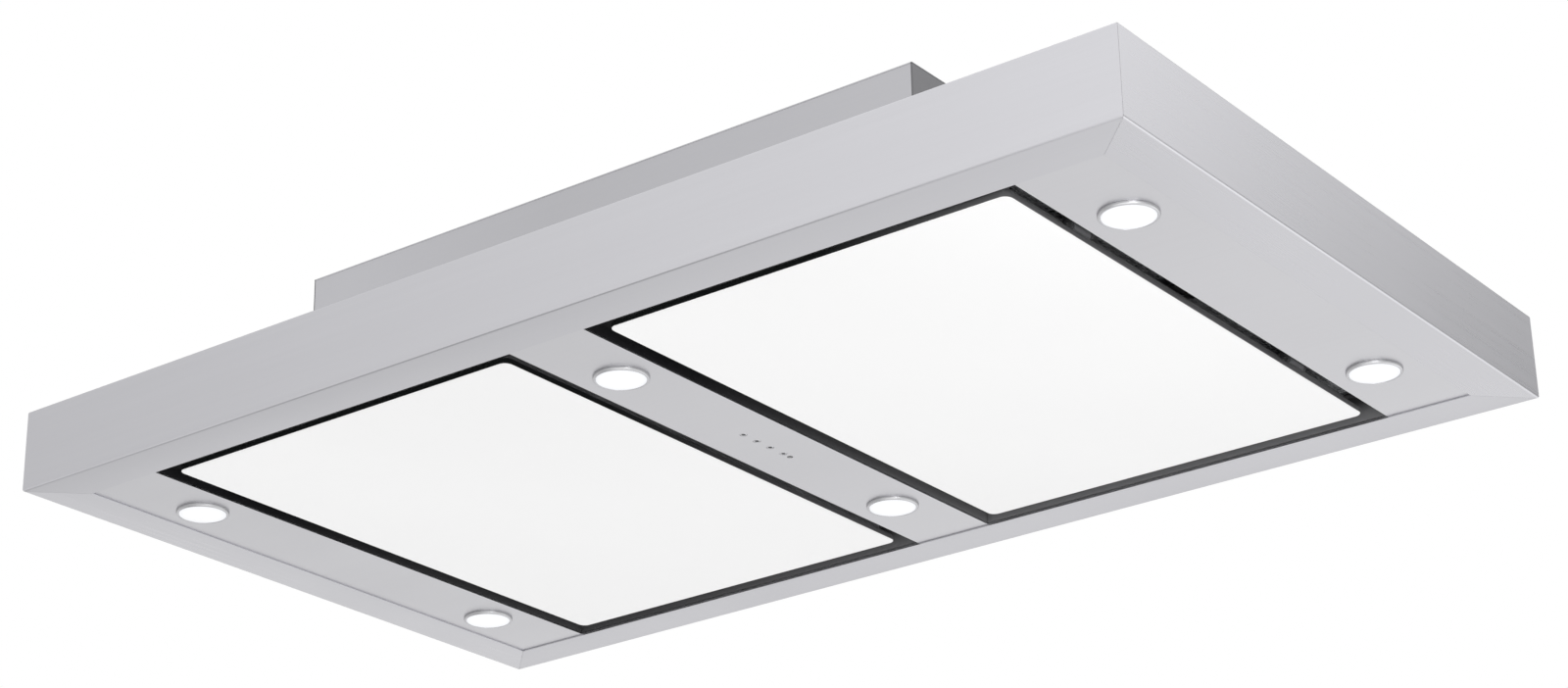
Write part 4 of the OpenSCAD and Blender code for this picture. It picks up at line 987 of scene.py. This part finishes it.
CROSS_HALF = 0.42 * MM
CROSS_REACH = 1.75 * MM
CROSS_FLOOR = (0.8, 1.1 * MM)
CROSS_DEEPEST = 0.9 * MM
SHANK_R = 2 * MM
HEAD_T = 2.4 * MM
HEAD_DOME = ((1.0, 0.9 * MM), (0.93, 1.5 * MM), (0.78, 2.05 * MM), (0.55, HEAD_T))
HIGH_SCREW_Z = -5 * MM


def cross_radius(angle):
    """Distance from the middle to the edge of a cross-shaped recess, at an angle."""
    folded = (angle + math.pi / 4) % (math.pi / 2) - math.pi / 4
    tip = math.atan2(CROSS_HALF, CROSS_REACH)
    return np.where(np.abs(folded) <= tip + 1e-9, CROSS_REACH / np.cos(folded),
                    CROSS_HALF / np.maximum(np.abs(np.sin(folded)), 1e-9))


def screws():
    """Pan heads: rings from the rim over a dome to a cross recess, then its floor, on a plain shank.
    The highest screws have their heads below their shanks, and the others above."""
    shape = Shape()
    tip = math.degrees(math.atan2(CROSS_HALF, CROSS_REACH))
    step = np.array([-tip, 0, tip, 30, 45, 60])
    a = np.radians(np.concatenate([step + 90 * i for i in range(4)]))
    cross = cross_radius(a)
    ones = np.ones_like(a)
    for low, high in solid_boxes("screws"):
        middle = (low + high) / 2
        head = (high[0] - low[0]) / 2
        way = -1 if high[2] > HIGH_SCREW_Z else 1
        tail = low[2] if way > 0 else high[2]
        base = high[2] - HEAD_T if way > 0 else low[2] + HEAD_T
        rings = [(0 * ones, tail), (SHANK_R * ones, tail), (SHANK_R * ones, base), (head * ones, base)]
        rings += [(head * share * ones, base + way * rise) for share, rise in HEAD_DOME]
        rings += [
            (cross, base + way * HEAD_T), (cross * CROSS_FLOOR[0], base + way * CROSS_FLOOR[1]),
            (0 * ones, base + way * CROSS_DEEPEST),
        ]
        grid = np.array([np.stack([r * np.cos(a), r * np.sin(a), z * ones], -1) for r, z in rings])
        shape.grid(grid + [middle[0], middle[1], 0], wrap_columns=True)
    shape.piece("screws_crossed", "screws")


screws()


# Cable gland

# Heights lie along Y, outwards from the outer face of the box's wall
THREAD_R = 10 * MM
THREAD_PITCH = 1.5 * MM
THREAD_DEPTH = 0.45 * MM
THREAD_END = -1.6 * MM
BORE_R = 5 * MM
BORE_CUT = 0.5 * MM
COLLAR_R = 13.5 * MM
COLLAR_FOOT = 0.2 * MM
COLLAR_TOP = 4.8 * MM
COLLAR_CUT = (0.3 * MM, 0.4 * MM)
GROOVE_Z = 5.3 * MM
GROOVE_DEPTH = 0.6 * MM
DOME_FOOT = 5.8 * MM
DOME_SHOULDER = 10.6 * MM
DOME_ROUND = 3 * MM
MOUTH_ROUND = 0.8 * MM
HEXAGON_Z = (0.1 * MM, 4.9 * MM)
HEXAGON_FROM_R = 11 * MM
RIBBED_Z = (5.2 * MM, 12.2 * MM)
RIBBED_FROM_R = 8.5 * MM
RIBS = 24
RIB_DEPTH = 0.03
GLAND_SIDES = 96
BOX_WALL_T = 1.2 * MM


def gland():
    """Turned about Y: thread, six-sided collar, neck and a ribbed dome nut with a rounded mouth."""
    low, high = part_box("cable_gland")
    middle = (low + high) / 2
    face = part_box("gland_nut")[1].y + BOX_WALL_T
    hexagon = (high.x - low.x) / 2 * math.cos(math.pi / 6)

    def radius_at(r, a, z):
        """Flats of the collar and ribs of the dome nut, as a radius at each angle and height."""
        six = hexagon / np.cos((a + math.pi / 6) % (math.pi / 3) - math.pi / 6)
        ribs = r * (1 - RIB_DEPTH * (0.5 + 0.5 * np.cos(a * RIBS)))
        flat = (z > HEXAGON_Z[0]) & (z < HEXAGON_Z[1]) & (r > HEXAGON_FROM_R)
        dome = (z > RIBBED_Z[0]) & (z < RIBBED_Z[1]) & (r > RIBBED_FROM_R)
        return np.where(flat, np.minimum(six, r), np.where(dome, ribs, r))

    inside = low.y - face
    outside = high.y - face
    turns = np.arange(inside + BORE_CUT, THREAD_END, THREAD_PITCH / 2)
    thread = [(THREAD_R - (THREAD_DEPTH if i % 2 else 0), z) for i, z in enumerate(turns)]
    cut_r, cut_z = COLLAR_CUT
    profile = np.concatenate([
        [(BORE_R, inside), (THREAD_R - BORE_CUT, inside)], thread,
        [(THREAD_R, COLLAR_FOOT), (COLLAR_R - cut_r, COLLAR_FOOT), (COLLAR_R, COLLAR_FOOT + cut_z)],
        [(COLLAR_R, COLLAR_TOP - cut_z), (COLLAR_R - cut_r, COLLAR_TOP), (THREAD_R, COLLAR_TOP)],
        [(THREAD_R - GROOVE_DEPTH, GROOVE_Z), (THREAD_R, DOME_FOOT), (THREAD_R, DOME_SHOULDER)],
        arc((THREAD_R - DOME_ROUND, outside - DOME_ROUND), DOME_ROUND, 15, 90, 6),
        arc((BORE_R + MOUTH_ROUND, outside - MOUTH_ROUND), MOUTH_ROUND, 90, 180),
    ])
    grid = turned(profile, GLAND_SIDES, radius_at=radius_at)
    placed = np.stack([grid[..., 0] + middle.x, grid[..., 2] + face, grid[..., 1] + middle.z], -1)
    shape = Shape()
    shape.grid(placed, wrap_rows=True, wrap_columns=True)
    shape.piece("cable_gland_ribbed", "cable_gland")


gland()


# Rounded edges on the sheet-metal pieces that show

# Widths asked for: the bevel narrows them on a piece that has short edges, as round its holes
THIN_EDGE = 0.25 * MM
SHEET_EDGE = 0.3 * MM
LATCH_EDGE = 0.45 * MM
BASE_EDGE = 0.6 * MM
FOLD_AXIS = {"front": 0, "back": 0, "left": 1, "right": 1}

for side, axis in FOLD_AXIS.items():
    softened("surround_" + side, SHEET_EDGE, fold_axis=axis)
softened("base_plate", BASE_EDGE, 3)
for node in ("upper_box", "top_plate", "duct_collar", "power_box", "mounting_rails", "magnet_keepers"):
    softened(node, THIN_EDGE)
softened("hinge_brackets", SHEET_EDGE)
for side in ("left", "right"):
    softened("panel_tray_" + side, SHEET_EDGE)
    softened("suction_well_" + side, SHEET_EDGE)
    for end in ("front", "back"):
        softened(f"filter_frame_{side}_{end}", THIN_EDGE)
        softened(f"filter_latch_{side}_{end}", LATCH_EDGE, 3)


# Floor, light and camera

FLOOR_Z = -1.9
FLOOR_SIZE = 30.0
FLOOR_COLOUR = (0.88, 0.88, 0.88)
PHOTO_W = 1600
FOCAL_PX = 3444.05
SENSOR_MM = 36.0
EYE = Vector((1.7139, -2.27837, -1.31932))
LOOK = Vector((-0.546, 0.73676, 0.39886))
DOWN = Vector((-0.25395, 0.30814, -0.91682))
# Patches of the floor's mirrored light: the middle, the radius, and how much brighter each middle is
FLOOR_PATCHES = (((1.9, 2.3), 2.4, 0.6), ((-1.2, -1.4), 2.0, -0.75), ((-2.4, 0.9), 2.4, -0.38))
# The sky's even light, and the banks that metal mirrors: limits, level and growth along their ways
SKY_STRENGTH = 0.95
BANK_MOST = 1.35
FRONT_LEAST = 0.6
FRONT_LEVEL = 1.66
FRONT_GAIN = 1.25
BACK_LEAST = 0.36
BACK_LEVEL = 0.71
BACK_WAY = (0.56, -0.58, 0.59)
BACK_BANK_GAIN = 5.0
SIDE_GAIN = 2.5


def spot_on_floor(nodes, place, centre, radius):
    """A soft round patch of the floor: 1 in its middle, 0 past its radius."""
    values = {0: place, 1: (*centre, FLOOR_Z)}
    distance = nodes.node("ShaderNodeVectorMath", {"operation": "DISTANCE"}, values, "Value")
    return (1.0 - distance * (1.0 / radius)).limited()


def floor():
    """A wide pale floor well below the hood, with only an upper side, so that the hood can be seen
    from under it. Metal and glass mirror it as white, with a brighter patch at the back right and
    darker ones at the front left, which draw the folded edges."""
    half = FLOOR_SIZE / 2
    corners = [(x * half, y * half, FLOOR_Z) for x, y in ((-1, -1), (1, -1), (1, 1), (-1, 1))]
    mesh = bpy.data.meshes.new("floor")
    mesh.from_pydata(corners, [], [(0, 1, 2, 3)])
    paint = Paint("floor", Roughness=0.9)
    here = paint.place()
    paint.set("Base Color", paint.shades(paint.noise(3.0, here, 2.0), FLOOR_COLOUR, 0.01))
    glow = 1.0
    for centre, radius, gain in FLOOR_PATCHES:
        glow = glow + spot_on_floor(paint, here, centre, radius) * gain
    ray = paint.node("ShaderNodeLightPath", output="Is Glossy Ray")
    through = paint.node("ShaderNodeLightPath", output="Is Transmission Ray")
    white = paint.node("ShaderNodeEmission", None, {"Color": (1, 1, 1, 1), "Strength": glow})
    own = Wire(paint, paint.shader.outputs[0])
    mirrored = ray.math("MAXIMUM", ray, through)
    upper = paint.node("ShaderNodeMixShader", None, {0: mirrored, 1: own, 2: white})
    below = paint.node("ShaderNodeNewGeometry", output="Backfacing")
    clear = paint.node("ShaderNodeBsdfTransparent")
    mixed = paint.node("ShaderNodeMixShader", None, {0: below, 1: upper, 2: clear})
    paint.feed(paint.tree.nodes["Material Output"].inputs["Surface"], mixed)
    mesh.materials.append(paint.material)
    thing = bpy.data.objects.new("floor", mesh)
    bpy.context.scene.collection.objects.link(thing)
    thing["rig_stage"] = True


def studio_sky():
    """Even light from all round. Metal mirrors soft banks of it: the front one grows brighter to
    the right, the back one from left to right and upwards."""
    world = bpy.data.worlds.new("studio")
    world.use_nodes = True
    bpy.context.scene.world = world
    world.node_tree.nodes.clear()
    nodes = Nodes(world.node_tree)
    way = nodes.node("ShaderNodeTexCoord", output="Generated")
    x, y, z = (nodes.node("ShaderNodeSeparateXYZ", None, {"Vector": way}, a) for a in "XYZ")
    front = (FRONT_LEVEL + FRONT_GAIN * x).limited(FRONT_LEAST, BANK_MOST)
    rise = BACK_WAY[0] * x + BACK_WAY[1] * y + BACK_WAY[2] * z
    back = (BACK_LEVEL + rise * BACK_BANK_GAIN).limited(BACK_LEAST, BANK_MOST)
    side = (y * SIDE_GAIN + 0.5).limited()
    banks = front + (back - front) * side
    seen = nodes.node("ShaderNodeLightPath", output="Is Camera Ray")
    mirrored = nodes.node("ShaderNodeLightPath", output="Is Glossy Ray")
    through = nodes.node("ShaderNodeLightPath", output="Is Transmission Ray")
    light = nodes.node("ShaderNodeBackground", None, {"Color": (1, 1, 1, 1), "Strength": SKY_STRENGTH})
    white = nodes.node("ShaderNodeBackground", None, {"Color": (1, 1, 1, 1), "Strength": 1.0})
    bank = nodes.node("ShaderNodeBackground", None, {"Color": (1, 1, 1, 1), "Strength": banks})
    open_view = seen.math("MAXIMUM", seen, through)
    plain = nodes.node("ShaderNodeMixShader", None, {0: open_view, 1: light, 2: white})
    mixed = nodes.node("ShaderNodeMixShader", None, {0: mirrored, 1: plain, 2: bank})
    out = world.node_tree.nodes.new("ShaderNodeOutputWorld")
    nodes.feed(out.inputs["Surface"], mixed)


def soft_lamp(name, place, target, size, power, spread=180.0):
    """A soft box at a place, turned to a target, out of the camera's sight: its power is in watts and
    its spread in degrees."""
    lamp = bpy.data.lights.new(name, "AREA")
    lamp.shape = "RECTANGLE"
    lamp.size, lamp.size_y = size
    lamp.energy = power
    lamp.spread = math.radians(spread)
    thing = bpy.data.objects.new(name, lamp)
    bpy.context.scene.collection.objects.link(thing)
    towards = Vector(target) - Vector(place)
    thing.matrix_world = Matrix.Translation(place) @ towards.to_track_quat("-Z", "Y").to_matrix().to_4x4()
    thing.visible_camera = False


def camera():
    """The photograph's eye: its place, its line of sight and its height line, with no shift."""
    data = bpy.data.cameras.new("camera")
    data.sensor_fit = "HORIZONTAL"
    data.sensor_width = SENSOR_MM
    data.lens = FOCAL_PX * SENSOR_MM / PHOTO_W
    data.clip_start = 0.05
    data.clip_end = 100.0
    thing = bpy.data.objects.new("camera", data)
    bpy.context.scene.collection.objects.link(thing)
    back = -LOOK.normalized()
    up = (-DOWN).normalized()
    right = up.cross(back).normalized()
    up = back.cross(right)
    turn = Matrix((right, up, back)).transposed().to_4x4()
    thing.matrix_world = Matrix.Translation(EYE) @ turn
    bpy.context.scene.camera = thing


floor()
studio_sky()
soft_lamp("underside_fill", (0.6, -0.9, -1.75), (0.2, 0, -0.16), size=(2.2, 2.2), power=13.0)
soft_lamp("right_corner", (1.15, -0.75, -0.45), (0.3, 0.1, -0.16), size=(0.35, 0.35), power=0.5, spread=90)
camera()

bpy.context.scene.view_settings.view_transform = "Standard"
low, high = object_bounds()
